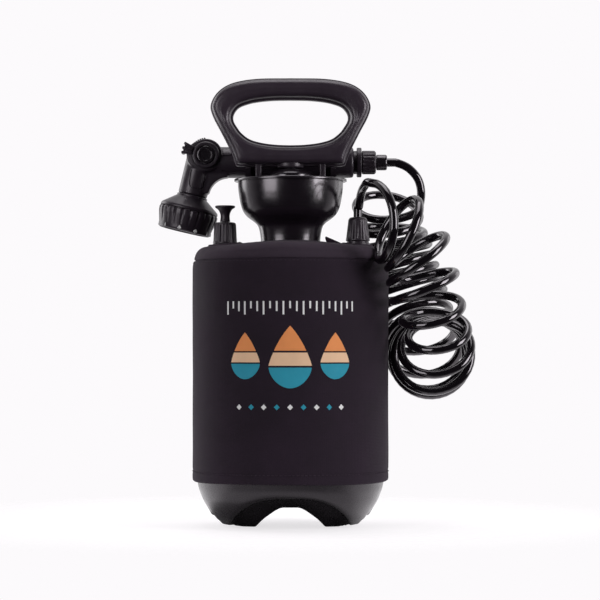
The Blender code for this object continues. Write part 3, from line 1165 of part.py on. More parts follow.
def least_gap(points, diameter):
    """Least space between any two turns of a line of evenly set points."""
    apart = COIL_POINTS // 3
    cells = {}
    for number, point in enumerate(points):
        cell = tuple(math.floor(value / diameter / 2) for value in point)
        cells.setdefault(cell, []).append(number)
    least = math.inf
    for number in range(len(points) - 1):
        start = points[number]
        run = points[number + 1] - start
        home = tuple(math.floor(value / diameter / 2) for value in start)
        for dx in (-1, 0, 1):
            for dy in (-1, 0, 1):
                for dz in (-1, 0, 1):
                    for other in cells.get((home[0] + dx, home[1] + dy, home[2] + dz), ()):
                        if abs(other - number) > apart:
                            share = (points[other] - start).dot(run) / run.length_squared
                            share = min(max(share, 0.0), 1.0)
                            least = min(least, (points[other] - start - run * share).length)
    return least - diameter


def scaled(route):
    return [Vector(point) * MM for point in route]


def build_hose(shade):
    ring = coil_points()
    arriving = (ring[1] - ring[0]).normalized()
    leaving = (ring[-1] - ring[-2]).normalized()
    first = ring[0] - arriving * GAP
    last = ring[-1] + leaving * GAP
    straight = 2 * HOSE_RADIUS
    outlet = Vector((OUTLET_X, 0.0, OUTLET_NUT_TOP_Z + GAP))
    handset = Vector((WAND_HOSE_X + GAP, WAND_Y, WAND_Z))
    out_rows = [outlet, outlet + Vector((0.0, 0.0, straight)), *scaled(OUTLET_LEAD_ROUTE)]
    out_rows += [first - arriving * straight, first]
    back_rows = [last, last + leaving * straight, *scaled(WAND_LEAD_ROUTE)]
    back_rows += [handset + Vector((straight, 0.0, 0.0)), handset]
    out_line = [out_rows[0], *smooth_inside(out_rows, LEAD_POINTS), out_rows[-1]]
    back_line = [back_rows[0], *smooth_inside(back_rows, LEAD_POINTS), back_rows[-1]]
    for name, line, sides in (
            ("hose_outlet_lead", out_line, 2), ("hose_coil", ring, 1), ("hose_wand_lead", back_line, 2)):
        place(finish(tube(name, line, HOSE_RADIUS, sides), shade), ROOT)
    length = sum(
        (after_point - point).length
        for line in (out_line, ring, back_line) for point, after_point in zip(line, line[1:]))
    spare = least_gap(ring, 2 * HOSE_RADIUS)
    print("hose length", round(length, 4), "m, least gap to itself", round(spare / MM, 2), "mm")


# Frame of the finished part
def centre_on_floor():
    """Moves the whole part so that its origin is the middle of its base, the hose left out."""
    bpy.context.view_layer.update()
    graph = bpy.context.evaluated_depsgraph_get()
    low = Vector((math.inf,) * 3)
    high = Vector((-math.inf,) * 3)
    for piece in PARTS.objects:
        if piece.type == "EMPTY" or piece.name.startswith("hose_") and piece.type == "CURVE":
            continue
        solid = piece.evaluated_get(graph)
        data = solid.to_mesh()
        for point in data.vertices:
            world = solid.matrix_world @ point.co
            low = Vector(map(min, low, world))
            high = Vector(map(max, high, world))
        solid.to_mesh_clear()
    ROOT.location = (-(low.x + high.x) / 2, -(low.y + high.y) / 2, -low.z)
    bpy.context.view_layer.update()
    print("tank axis at x", round(ROOT.location.x / MM, 3), "y", round(ROOT.location.y / MM, 3))


def main():
    black = material("matte_black_plastic", (0.022, 0.022, 0.024), 0.5)
    gloss = material("gloss_black_plastic", (0.012, 0.012, 0.014), 0.18)
    grip = material("handle_plastic", (0.035, 0.035, 0.038), 0.45)
    cloth = material("sleeve_neoprene", (0.028, 0.028, 0.031), 0.85)
    cloth_top = material("sleeve_top_neoprene", (0.031, 0.031, 0.034), 0.85)
    hose = material("hose_polyurethane", (0.01, 0.01, 0.011), 0.12)
    seal = material("seal_rubber", (0.03, 0.03, 0.03), 0.8)
    inner = material("inner_plastic", (0.65, 0.66, 0.66), 0.4)
    steel = material("steel", (0.6, 0.6, 0.6), 0.3, 1.0)
    build_tank(black)
    build_sleeve(cloth, cloth_top)
    build_funnel(gloss, seal)
    build_cradle(black)
    pump = build_pump(gloss, black, inner, seal)
    build_plunger(pump, grip, black, inner, seal, steel)
    build_relief(black, black, seal, steel)
    build_outlet(black, inner, seal, inner)
    build_wand(black, gloss, inner, seal, steel)
    build_hose(hose)
    centre_on_floor()


for old in list(bpy.data.objects):
    bpy.data.objects.remove(old)
PARTS = new_collection("pressure_shower")
CUTTERS = new_collection("cutters")
ROOT = empty("shower")
main()
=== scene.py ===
"""Looks of a hand-pumped pressure shower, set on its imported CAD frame."""
from math import atan2, copysign, cos, exp, hypot, pi, radians, sin, sqrt, tau

import bmesh
import bpy
from mathutils import Matrix, Vector, noise

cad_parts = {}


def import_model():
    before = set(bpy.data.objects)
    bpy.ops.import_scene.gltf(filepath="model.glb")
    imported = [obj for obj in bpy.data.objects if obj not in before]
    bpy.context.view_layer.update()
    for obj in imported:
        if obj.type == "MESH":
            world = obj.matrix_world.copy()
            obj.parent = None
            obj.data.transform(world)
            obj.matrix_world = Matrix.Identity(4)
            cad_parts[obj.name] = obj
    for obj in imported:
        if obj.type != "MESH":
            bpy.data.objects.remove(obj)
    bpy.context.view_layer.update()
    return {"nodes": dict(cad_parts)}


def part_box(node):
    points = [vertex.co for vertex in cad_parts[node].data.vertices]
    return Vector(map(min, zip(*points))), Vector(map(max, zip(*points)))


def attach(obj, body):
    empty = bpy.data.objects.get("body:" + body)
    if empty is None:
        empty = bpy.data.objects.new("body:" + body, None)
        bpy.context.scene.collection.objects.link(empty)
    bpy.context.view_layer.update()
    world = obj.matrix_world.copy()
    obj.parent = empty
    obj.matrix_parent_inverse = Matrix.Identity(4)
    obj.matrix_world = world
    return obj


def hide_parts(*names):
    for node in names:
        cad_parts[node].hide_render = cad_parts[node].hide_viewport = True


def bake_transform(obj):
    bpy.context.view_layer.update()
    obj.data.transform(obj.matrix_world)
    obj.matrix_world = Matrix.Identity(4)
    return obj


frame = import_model()

# Every length below is in millimetres from the tank's axis and the floor
MM = 0.001
funnel_low, funnel_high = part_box("fill_funnel")
AXIS = Vector(((funnel_low.x + funnel_high.x) / 2, (funnel_low.y + funnel_high.y) / 2, 0))

# Heights, radii and places of the solids in the frame
TANK_RADIUS = 87.5
CORNER_RADIUS = 74
CORNER_OUT = TANK_RADIUS - CORNER_RADIUS
CORNER_UP = 17.5
BODY_TOP = 238
SHOULDER_Z = 259
NECK_TOP = 273.6
LIP_RADIUS = 52.325
LIP_Z = 322
CAP_LOW = 282
CAP_TOP = 329
HANDLE_Z = 334
PORT_Z = 259.5
RELIEF_X = -60.825
OUTLET_X = 62.5625
WAND_Y = 38
WAND_Z = 340.4
HUB_X = -79.5
HUB_Z = 346.3
NECK_OUTSET = 4.7
NECK_LENGTH = 38
TILT_DEGREES = 13.2
TILT = radians(TILT_DEGREES)
WAND_END_X = 59.4


# Places
def world(point):
    return Vector(point) * MM + AXIS


def spot(x, y, z):
    return Matrix.Translation((x, y, z))


def spun(degrees, axis="Z"):
    return Matrix.Rotation(radians(degrees), 4, axis)


def round_axis(radius, angle, height):
    return Vector((radius * cos(angle), radius * sin(angle), height))


ALONG_X = spun(90, "Y")
ALONG_Y = spun(-90, "X")


# Lines
def bend(here, back, onward, back_reach, on_reach, steps):
    """Points of a rounded corner, between its two sides."""
    start = here + back.normalized() * back_reach
    end = here + onward.normalized() * on_reach
    shares = [step / steps for step in range(steps + 1)]
    return [start * (1 - share) ** 2 + here * 2 * share * (1 - share) + end * share ** 2 for share in shares]


def soften(corners, steps=4):
    """Rounds the corners of an open line: each is (x, y) or (x, y, radius)."""
    line = []
    for number, corner in enumerate(corners):
        here = Vector(corner[:2])
        if number in (0, len(corners) - 1) or len(corner) == 2:
            line.append(here)
            continue
        back = Vector(corners[number - 1][:2]) - here
        onward = Vector(corners[number + 1][:2]) - here
        reach = min(corner[2], 0.48 * back.length, 0.48 * onward.length)
        line += bend(here, back, onward, reach, reach, steps)
    return line


def between(first, here, after, last, share):
    """Place at a share of the way from here to after, on a curve through all four."""
    straight = (after - first) * share
    curved = (2 * first - 5 * here + 4 * after - last) * share ** 2
    closing = (3 * here - first - 3 * after + last) * share ** 3
    return (2 * here + straight + curved + closing) / 2


def curve_inside(rows, count):
    """Reads a smooth curve from the second row to the last but one, count points for each stretch."""
    line = []
    for four in zip(rows, rows[1:], rows[2:], rows[3:]):
        line += [between(*four, number / count) for number in range(count)]
    return line + [rows[-2].copy()]


def curve_through(points, count):
    rows = [Vector(point) for point in points]
    return curve_inside([2 * rows[0] - rows[1], *rows, 2 * rows[-1] - rows[-2]], count)


# Shapes, in millimetres
def join_rings(shape, low, high):
    """Faces between two closed rings of points; either may be a single point."""
    count = max(len(low), len(high))
    for number in range(count):
        after = (number + 1) % count
        corners = [low[number % len(low)], low[after % len(low)]]
        corners += [high[after % len(high)], high[number % len(high)]]
        shape.faces.new(list(dict.fromkeys(corners)))


def lathe_shape(profile, steps=72, waver=None, closed=False, shape=None):
    """Turns a line of (radius, height) about Z. waver gives how far a point moves out."""
    shape = shape or bmesh.new()
    rings = []
    for radius, height in profile:
        ring = []
        for number in range(steps if radius > 1e-6 else 1):
            angle = tau * number / steps
            out = radius + (waver(angle, height) if waver else 0)
            ring.append(shape.verts.new(round_axis(out, angle, height)))
        rings.append(ring)
    for low, high in zip(rings, rings[1:] + (rings[:1] if closed else [])):
        join_rings(shape, low, high)
    return shape


def ribs(count, depth, low, high, power=1, fade=1.5):
    """A waver that presses grooves between count ribs, from one height to another."""
    def waver(angle, height):
        share = min(max(min(height - low, high - height) / fade, 0), 1)
        return -depth * share * (0.5 + 0.5 * cos(count * angle)) ** power
    return waver


def add_shape(shape, other, matrix=Matrix()):
    """Adds a copy of another shape, and frees it."""
    marks = {vertex: shape.verts.new(matrix @ vertex.co) for vertex in other.verts}
    for face in other.faces:
        shape.faces.new([marks[vertex] for vertex in face.verts])
    other.free()
    return shape


def block_shape(corner, opposite, radius, steps=3, shape=None, matrix=Matrix()):
    """A block with rounded edges, alone or added to a shape."""
    own = bmesh.new()
    bmesh.ops.create_cube(own, size=1)
    size = [abs(b - a) for a, b in zip(corner, opposite)]
    middle = [(a + b) / 2 for a, b in zip(corner, opposite)]
    for vertex in own.verts:
        vertex.co = Vector([c * s + m for c, s, m in zip(vertex.co, size, middle)])
    if radius:
        bmesh.ops.bevel(
            own, geom=list(own.edges), offset=radius, segments=steps, profile=0.5, affect="EDGES",
            clamp_overlap=True)
    return own if shape is None else add_shape(shape, own, matrix)


def extrude_shape(outline, low, high, radius=0):
    """A slab along Y from an outline in X and Z, with its edges eased."""
    shape = bmesh.new()
    front, back = [[shape.verts.new((x, y, z)) for x, z in outline] for y in (low, high)]
    shape.faces.new(front)
    shape.faces.new(back[::-1])
    join_rings(shape, back, front)
    if radius:
        bmesh.ops.bevel(
            shape, geom=list(shape.edges), offset=radius, segments=2, affect="EDGES", clamp_overlap=True)
    return shape


def tube_shape(points, radius, sides, shape=None):
    """A round tube along a line of points, with its frame carried along without twist."""
    shape = shape or bmesh.new()
    side = (points[1] - points[0]).normalized().orthogonal().normalized()
    rings = []
    for number, point in enumerate(points):
        heading = (points[min(number + 1, len(points) - 1)] - points[max(number - 1, 0)]).normalized()
        side = (side - heading * side.dot(heading)).normalized()
        other = heading.cross(side)
        angles = [tau * step / sides for step in range(sides)]
        rings.append([
            shape.verts.new(point + radius * (cos(angle) * side + sin(angle) * other)) for angle in angles])
    for low, high in zip(rings, rings[1:]):
        join_rings(shape, low, high)
    shape.faces.new(rings[0][::-1])
    shape.faces.new(rings[-1])
    return shape


# Mesh objects
SHARP_ANGLE = 38


def link(piece):
    bpy.context.scene.collection.objects.link(piece)
    return piece


def smooth_shade(data, sharp=SHARP_ANGLE):
    for face in data.polygons:
        face.use_smooth = True
    data.set_sharp_from_angle(angle=radians(sharp))


def from_bmesh(name, shape, matrix=Matrix(), sharp=SHARP_ANGLE):
    """A mesh object from a shape in millimetres, placed by a matrix."""
    bmesh.ops.recalc_face_normals(shape, faces=shape.faces)
    for vertex in shape.verts:
        vertex.co = world(matrix @ vertex.co)
    data = bpy.data.meshes.new(name)
    shape.to_mesh(data)
    shape.free()
    smooth_shade(data, sharp)
    return link(bpy.data.objects.new(name, data))


def lathe(name, profile, matrix=Matrix(), steps=72, waver=None, closed=False, sharp=SHARP_ANGLE):
    return from_bmesh(name, lathe_shape(profile, steps, waver, closed), matrix, sharp)


def block(name, corner, opposite, radius, matrix=Matrix()):
    return from_bmesh(name, block_shape(corner, opposite, radius), matrix)


def plug(radius, low, high, matrix, steps=72):
    """A plain round cutter."""
    return lathe("plug", [(0, low), (radius, low), (radius, high), (0, high)], matrix, steps)


def applied(piece):
    """Bakes the modifiers of a piece into its mesh."""
    bpy.context.view_layer.update()
    graph = bpy.context.evaluated_depsgraph_get()
    data = bpy.data.meshes.new_from_object(piece.evaluated_get(graph), depsgraph=graph)
    piece.modifiers.clear()
    old = piece.data
    piece.data = data
    bpy.data.meshes.remove(old)


def carve(piece, *cutters, operation="DIFFERENCE"):
    """Cuts pieces out of a piece, or keeps what lies inside them, and removes them."""
    for cutter in cutters:
        change = piece.modifiers.new("carve", "BOOLEAN")
        change.operation = operation
        change.solver = "EXACT"
        change.object = cutter
    applied(piece)
    for cutter in cutters:
        data = cutter.data
        bpy.data.objects.remove(cutter)
        bpy.data.meshes.remove(data)
    smooth_shade(piece.data)


def melted(piece, voxel, rounds):
    """One even skin round a piece, with its inner corners filled a little."""
    grid = piece.modifiers.new("grid", "REMESH")
    grid.mode = "VOXEL"
    grid.voxel_size = voxel * MM
    ease = piece.modifiers.new("ease", "SMOOTH")
    ease.factor = 0.5
    ease.iterations = rounds
    applied(piece)
    smooth_shade(piece.data)
    return piece


# Materials
def fed(tree, node, *feeds, **settings):
    """Sets a node: feeds go to its inputs in turn, settings to the property or input of that name."""
    for key in [key for key in settings if hasattr(node, key)]:
        setattr(node, key, settings.pop(key))
    wires = [(number, feed) for number, feed in enumerate(feeds) if feed is not None]
    wires += [(key.replace("_", " "), value) for key, value in settings.items()]
    for key, value in wires:
        if isinstance(value, bpy.types.NodeSocket):
            tree.links.new(value, node.inputs[key])
        else:
            node.inputs[key].default_value = value
    return node.outputs


def put(tree, kind, *feeds, **settings):
    """Adds a node, sets it and gives its outputs."""
    return fed(tree, tree.nodes.new("ShaderNode" + kind), *feeds, **settings)


def grey(value):
    return (value, value, value)


def times(color, share):
    return tuple(c * share for c in color)


def ramp(tree, feed, *stops):
    """A colour ramp over a feed; each stop is (place, colour)."""
    node = tree.nodes.new("ShaderNodeValToRGB")
    tree.links.new(feed, node.inputs["Fac"])
    steps = node.color_ramp.elements
    for step, (place, color) in zip((steps[0], steps[1]), (stops[0], stops[-1])):
        step.position = place
        step.color = (*color, 1)
    for place, color in stops[1:-1]:
        steps.new(place).color = (*color, 1)
    return node.outputs["Color"]


def mixed(tree, share, first, second):
    """A colour between two colours."""
    return put(tree, "Mix", share, *[None] * 5, first, second, data_type="RGBA")[2]


def speckle(tree, place, scale, detail, rough):
    return put(tree, "TexNoise", place, None, scale, detail, rough)["Fac"]


def wired(name):
    shade = bpy.data.materials.new(name)
    shade.use_nodes = True
    return shade, shade.node_tree, shade.node_tree.nodes["Principled BSDF"]


def plastic(name, color, rough, grain=0.05, grain_size=1, patch=0.1, wear=0.25, specular=0.5):
    """Moulded plastic: fine surface grain, slow colour and gloss variation, paler worn edges."""
    shade, tree, skin = wired(name)
    place = put(tree, "TexCoord")["Object"]
    slow = speckle(tree, place, 38, 4, 0.6)
    tone = ramp(tree, slow, (0.3, times(color, 1 - patch)), (0.7, times(color, 1 + patch)))
    edges = put(tree, "NewGeometry")["Pointiness"]
    worn = ramp(tree, edges, (0.53, grey(0)), (0.62, grey(wear)))
    pale = (*[min(c * 2.6 + 0.03, 1) for c in color], 1)
    scuff = speckle(tree, place, 120, 6, 0.7)
    gloss = put(tree, "MapRange", scuff, 0.3, 0.7, rough * 0.82, rough * 1.2)[0]
    fine = speckle(tree, place, 1400 / grain_size, 3, 0.55)
    bump = put(tree, "Bump", Strength=grain, Distance=0.0004, Height=fine)["Normal"]
    fed(tree, skin, Base_Color=mixed(tree, worn, tone, pale), Roughness=gloss, Normal=bump,
        Specular_IOR_Level=specular, Specular_Tint=(1, 0.93, 1, 1))
    return shade


CLOTH_RADIUS = 89.2


def neoprene(name, color, pitch):
    """Knitted jersey over foam: fine ribs up and across the cloth, soft sheen, slow tone changes."""
    shade, tree, skin = wired(name)
    place = put(tree, "TexCoord")["Object"]
    parts = put(tree, "SeparateXYZ", place)
    across = put(tree, "Math", parts["X"], AXIS.x, operation="SUBTRACT")[0]
    angle = put(tree, "Math", parts["Y"], across, operation="ARCTAN2")[0]
    around = put(tree, "Math", angle, CLOTH_RADIUS * MM, operation="MULTIPLY")[0]
    cloth = put(tree, "CombineXYZ", around, parts["Z"])[0]
    loops = []
    for degrees, share in ((0, 1), (90, 1.35)):
        lie = put(tree, "Mapping", cloth, Rotation=(0, 0, radians(degrees)))[0]
        bands = put(tree, "TexWave", lie, Scale=share * pi / (20 * pitch * MM), Distortion=0.35, Detail=1)
        loops.append(bands["Fac"])
    weave = put(tree, "Math", *loops, operation="MULTIPLY")[0]
    slow = speckle(tree, place, 22, 5, 0.6)
    lint = speckle(tree, place, 900, 2, 0.8)
    tone = ramp(tree, slow, (0.35, times(color, 0.86)), (0.68, times(color, 1.16)))
    specks = ramp(tree, lint, (0.66, grey(0)), (0.78, grey(0.35)))
    pale = (*[c * 2.2 + 0.01 for c in color], 1)
    rough = put(tree, "MapRange", slow, 0, 1, 0.72, 0.9)[0]
    knit = put(tree, "Bump", Strength=0.5, Distance=0.00022, Height=weave)["Normal"]
    soft = put(tree, "Bump", Strength=0.35, Distance=0.0012, Height=slow, Normal=knit)["Normal"]
    fed(tree, skin, Base_Color=mixed(tree, specks, tone, pale), Roughness=rough, Normal=soft,
        Sheen_Weight=0.02, Sheen_Roughness=0.45, Sheen_Tint=(0.8, 0.8, 0.82, 1), Specular_IOR_Level=0.14)
    return shade


PLASTICS = {
    "matte_black": ((0.018, 0.0125, 0.0185), 0.38, {"grain": 0.18}),
    "tank": ((0.006, 0.0044, 0.0063), 0.27, {"grain": 0.035, "grain_size": 1.6, "specular": 0.6}),
    "gloss_black": ((0.008, 0.0055, 0.0085), 0.22, {"grain": 0.03, "specular": 0.95}),
    "handle_black": ((0.027, 0.019, 0.028), 0.34, {"grain": 0.22, "grain_size": 0.8}),
    "wand_black": ((0.019, 0.0135, 0.020), 0.34, {"grain": 0.2, "grain_size": 0.8}),
    "hose_black": ((0.005, 0.0036, 0.0054), 0.08, {"grain": 0.02, "wear": 0, "specular": 0.85}),
    "seal_rubber": ((0.026, 0.023, 0.027), 0.7, {"grain": 0.25}),
    "inner_plastic": ((0.62, 0.63, 0.62), 0.36, {"grain": 0.06, "patch": 0.06, "wear": 0}),
    "steel": ((0.56, 0.56, 0.57), 0.26, {"grain": 0.12, "grain_size": 0.6, "patch": 0.08, "wear": 0}),
}
INKS = {
    "print_white": (0.78, 0.77, 0.78),
    "print_orange": (0.80, 0.29, 0.10),
    "print_cream": (0.84, 0.55, 0.36),
    "print_teal": (0.03, 0.30, 0.42),
}
SHADES = {name: plastic(name, color, rough, **more) for name, (color, rough, more) in PLASTICS.items()}
for name, color in INKS.items():
    SHADES[name] = plastic(name, color, 0.75, grain=0.5, grain_size=2.5, patch=0.06, wear=0, specular=0.2)
SHADES["neoprene"] = neoprene("neoprene", (0.0185, 0.0112, 0.0195), 0.9)
# A lighter copy of the neoprene, with painted light from above for the top panel; the stitches wear it too
SHADES["neoprene_top"] = neoprene("neoprene_top", (0.034, 0.0235, 0.035), 0.75)
milky = SHADES["inner_plastic"].node_tree.nodes["Principled BSDF"]
milky.inputs["Subsurface Weight"].default_value = 0.25
milky.inputs["Subsurface Scale"].default_value = 0.004
SHADES["steel"].node_tree.nodes["Principled BSDF"].inputs["Metallic"].default_value = 1


def coat(piece, shade, slot, *nodes):
    """Gives a piece its material and hides the CAD nodes that it stands for; the slot is not used."""
    piece.data.materials.clear()
    piece.data.materials.append(SHADES[shade])
    if nodes:
        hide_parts(*nodes)
    return piece


def dress(piece, shade, body, *nodes, slot=None):
    """Coats a piece and sets it on its body."""
    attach(piece, body)
    return coat(piece, shade, slot or shade, *nodes)


def made(name, dressing, profile, matrix=Matrix(), steps=72, **more):
    """A lathed piece from a line with rounded corners; dressing is (material, body, nodes)."""
    return dress(lathe(name, soften(profile), matrix, steps, **more), *dressing)


# Camera, straight at the front, in the photograph's frame
lens = bpy.data.cameras.new("camera")
lens.lens = 144.5
lens.sensor_width = 36
lens.sensor_fit = "HORIZONTAL"
lens.shift_y = 0.08
lens.clip_end = 50
camera = link(bpy.data.objects.new("camera", lens))
camera.location = world((8.8, -2240, 165))
camera.rotation_euler = (radians(90), 0, 0)
bpy.context.scene.camera = camera


# Hose: outlet lead and coil in one tube, then the lead to the wand
HOSE_RADIUS = 4
COIL_POINTS = 36
COIL_FIRST_TURN = -0.25
COIL_LAST_TURN = 19.5
OUTLET_NUT_TOP = 286.7
WAND_HOSE_X = 90.9
# Each turn of the coil: centre, the way its plane faces, radius
COIL_RINGS = [
    ((81.5, -64, 278.5), (0.93, 0.34, -0.05), 32),
    ((104.5, -62, 267), (0.84, 0.09, -0.52), 31.5),
    ((117, -57, 243), (0.48, 0.02, -0.877), 31),
    ((121.5, -52, 219.5), (0.24, 0.05, -0.97), 30.5),
    ((128.5, -46, 197.5), (0.08, 0.34, -0.93), 29),
    ((136, -34, 178), (0.03, 0.50, -0.86), 27.5),
    ((135.5, -17, 165.5), (0.02, 0.75, -0.65), 31.5),
    ((132.8, 1.5, 158.3), (0, 0.951, -0.309), 35),
    ((131.5, 22, 156), (-0.05, 1, 0), 35.5),
    ((129.5, 42.5, 159), (-0.10, 0.951, 0.309), 35.5),
    ((126.5, 61, 167.5), (-0.15, 0.80, 0.58), 35.5),
    ((122, 75, 182), (-0.20, 0.58, 0.80), 35.5),
    ((117, 83.5, 199.5), (-0.22, 0.30, 0.93), 35.5),
    ((112, 87, 217), (-0.25, 0.10, 0.97), 35.5),
    ((108, 87.5, 228.5), (-0.25, 0.04, 0.97), 35.5),
    ((104.5, 88, 239.5), (-0.25, 0.02, 0.97), 35.5),
    ((101, 88, 250.5), (-0.23, 0, 0.97), 35.5),
    ((97.5, 87.5, 262), (-0.18, -0.05, 0.97), 35),
    ((94, 86, 276.5), (-0.10, -0.22, 0.95), 33.5),
    ((93, 84.5, 297.5), (0, -0.55, 0.83), 30.5),
    ((93.5, 80, 314), (0, -0.62, 0.79), 30),
]
OUTLET_LEAD_ROUTE = [(63.6, -2.5, 297), (64.4, -11, 303.5), (65.8, -26, 309.5), (67.8, -43, 312.8)]
WAND_LEAD_ROUTE = [(119, 49, 294.5), (123.5, 42, 308.5), (121, 38.5, 323.5), (111.5, 38, 335)]


def coil_points():
    """Centre line of the coil: a circle that turns round each ring's centre in its own plane."""
    lists = [[Vector(ring[part]) for ring in COIL_RINGS] for part in (0, 1)]
    for rows in lists:
        rows.insert(0, 2 * rows[0] - rows[1])
    lists.append([COIL_RINGS[0][2]] + [ring[2] for ring in COIL_RINGS])
    count = round((COIL_LAST_TURN - COIL_FIRST_TURN) * COIL_POINTS)
    high_side = Vector((0, 0, 1))
    points = []
    for number in range(count + 1):
        turned_by = (COIL_LAST_TURN - COIL_FIRST_TURN) * number / count
        turn = COIL_FIRST_TURN + turned_by
        row = min(int(max(turn, 0)), len(COIL_RINGS) - 3)
        centre, facing, radius = [between(*rows[row:row + 4], turn - row) for rows in lists]
        facing.normalize()
        high_side = (high_side - facing * high_side.dot(facing)).normalized()
        forward = facing.cross(high_side)
        angle = tau * turned_by
        points.append(centre + radius * (cos(angle) * high_side + sin(angle) * forward))
    return points


def build_cord(name, line, nodes):
    """A round hose along a line."""
    hose = from_bmesh(name, tube_shape(line, HOSE_RADIUS, 16), sharp=60)
    coat(hose, "hose_black", "hose_black", *nodes)
    return hose


def build_hose():
    ring = coil_points()
    straight = 2 * HOSE_RADIUS
    arriving = (ring[1] - ring[0]).normalized() * straight
    leaving = (ring[-1] - ring[-2]).normalized() * straight
    outlet = Vector((OUTLET_X, 0, OUTLET_NUT_TOP))
    handset = Vector((WAND_HOSE_X, WAND_Y, WAND_Z))
    out_rows = [outlet, outlet + Vector((0, 0, straight)), *map(Vector, OUTLET_LEAD_ROUTE)]
    out_rows += [ring[0] - arriving, ring[0]]
    back_rows = [ring[-1], ring[-1] + leaving, *map(Vector, WAND_LEAD_ROUTE)]
    back_rows += [handset + Vector((straight, 0, 0)), handset]
    coil_line = [outlet, *curve_inside(out_rows, 9), *ring]
    back_line = [ring[-1], *curve_inside(back_rows, 9), handset]
    coil = build_cord("hose_coil_tube", coil_line, ["hose_outlet_lead", "hose_coil"])
    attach(coil, "shower")
    lead = build_cord("hose_wand_tube", back_line, ["hose_wand_lead"])
    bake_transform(lead)


# Tank, with one channel from front to rear under it and a lower one across
WALL = 2.4
BASE_HEIGHT = 50
MOUTH_RADIUS = 63
# Shares of the way to the mouth where the channel starts to open, and over which it opens
FLARE_START = 0.48
FLARE_SPAN = 0.49
EDGE_SOFT = 2.5
MOUTH_SOFT = 7
PORT_BORE = 7.6
ARCH_HALF = 32.5
ARCH_HEIGHT = 18.5
CROSS_HALF = 22
CROSS_HEIGHT = 9.8
MOUTH_HALF = 56
MOUTH_HEIGHT = 29.5
CROSS_SHARES = [(0, 1), (0.7, 1), (0.82, 0.9), (0.92, 0.6), (1, 0)]
MOUTH_SHARES = [
    (0, 1), (0.2, 0.995), (0.37, 0.965), (0.52, 0.89), (0.66, 0.76), (0.78, 0.60), (0.87, 0.43),
    (0.94, 0.24), (1, 0)
]
ARCH_SHARES = [
    (0, 1), (0.21, 1), (0.30, 0.965), (0.42, 0.86), (0.57, 0.68), (0.74, 0.46), (0.84, 0.30), (1, 0)
]
BASE_SHARES = [
    (1, 1), (0.995, 0.88), (0.985, 0.79), (0.972, 0.69), (0.953, 0.60), (0.930, 0.50), (0.902, 0.41),
    (0.867, 0.305), (0.829, 0.194), (0.785, 0.10), (0.755, 0.03), (0.715, 0)
]


def shoulder(offset, start=0, steps=10, full=2):
    """Points up the shoulder's corner, at an offset from the tank; a full above 2 makes it squarer."""
    line = []
    for number in range(steps + 1):
        angle = start + (pi / 2 - start) * number / steps
        out = cos(angle) ** (2 / full) if number < steps else 0
        up = sin(angle) ** (2 / full)
        line.append((CORNER_RADIUS + (CORNER_OUT + offset) * out, BODY_TOP + (CORNER_UP + offset) * up))
    return line


def at_share(rows, share):
    """Reads a height off rows of (share across, share of height)."""
    for (near, high), (far, low) in zip(rows, rows[1:]):
        if share <= far:
            return high + (low - high) * (share - near) / (far - near)
    return 0


def flared(x, y):
    """How far the channel has opened toward its mouths at a place, from 0 to 1."""
    way = abs(y) / sqrt(max(MOUTH_RADIUS ** 2 - x ** 2, 100))
    share = min(max((way - FLARE_START) / FLARE_SPAN, 0), 1)
    return share * share * (3 - 2 * share)


def over_arch(point, grow):
    """Lifts a point of the base out of both channels, with a soft edge."""
    if point.z > BASE_HEIGHT - 5:
        return
    flare = flared(point.x, point.y)
    narrow = ARCH_HEIGHT * at_share(ARCH_SHARES, abs(point.x) / ARCH_HALF)
    wide = MOUTH_HEIGHT * at_share(MOUTH_SHARES, abs(point.x) / MOUTH_HALF)
    cross = CROSS_HEIGHT * at_share(CROSS_SHARES, abs(point.y) / CROSS_HALF)
    roof = max(narrow + (wide - narrow) * flare, cross) + grow
    soft = EDGE_SOFT + MOUTH_SOFT * flare
    rise = point.z - roof
    if rise < -soft:
        point.z = roof
    elif rise <= soft:
        point.z += (soft - rise) ** 2 / (4 * soft)


def build_tank():
    sides = [(TANK_RADIUS, z) for z in (200, 150, 100, 60)]
    base = curve_through([(r * TANK_RADIUS, z * BASE_HEIGHT) for r, z in BASE_SHARES], 5)
    floor_line = [(61 - 2 * number, 0) for number in range(30)]
    neck = soften([
        (22, 262), (22, NECK_TOP, 0.6), (24.5, NECK_TOP, 0.6), (24.5, SHOULDER_Z, 1.5), (30, SHOULDER_Z)])
    outer = lathe_shape(neck + shoulder(0)[::-1] + sides + base + floor_line + [(0, 0)], 200)
    inner = [(22, 262), (22, 256.5), (30, 256.5)] + shoulder(-WALL)[::-1]
    inner += [(TANK_RADIUS - WALL, z) for z in (200, 100, 60)]
    inner += [(r - WALL, max(z, WALL)) for r, z in base[::2]] + [(r, WALL) for r, _ in floor_line[::2]]
    hollow = lathe_shape(inner + [(0, WALL)], 200)
    for shape, grow in ((outer, 0), (hollow, WALL)):
        for vertex in shape.verts:
            over_arch(vertex.co, grow)
    bmesh.ops.reverse_faces(hollow, faces=hollow.faces)
    add_shape(outer, hollow)
    bmesh.ops.remove_doubles(outer, verts=outer.verts, dist=0.001)
    tank = from_bmesh("tank_body", outer)
    carve(tank, *[plug(PORT_BORE, 240, 270, spot(x, 0, 0), 48) for x in (RELIEF_X, OUTLET_X)])
    dress(tank, "tank", "shower", "tank", slot="matte_black")
    for name, x in (("relief_boss", RELIEF_X), ("outlet_boss", OUTLET_X)):
        made(name, ("matte_black", "shower"), [
            (7.5, 252), (7.5, 257.5, 0.4), (12.6, 257.5, 0.9), (12.9, 250), (7.5, 250)],
            spot(x, 0, 0), 48, closed=True)


# Sleeve
SLEEVE_IN = 0.35
SLEEVE_OUT = 3.5
SEAM = radians(21)
HEM_Z = 42
STITCH_Z = HEM_Z + 9


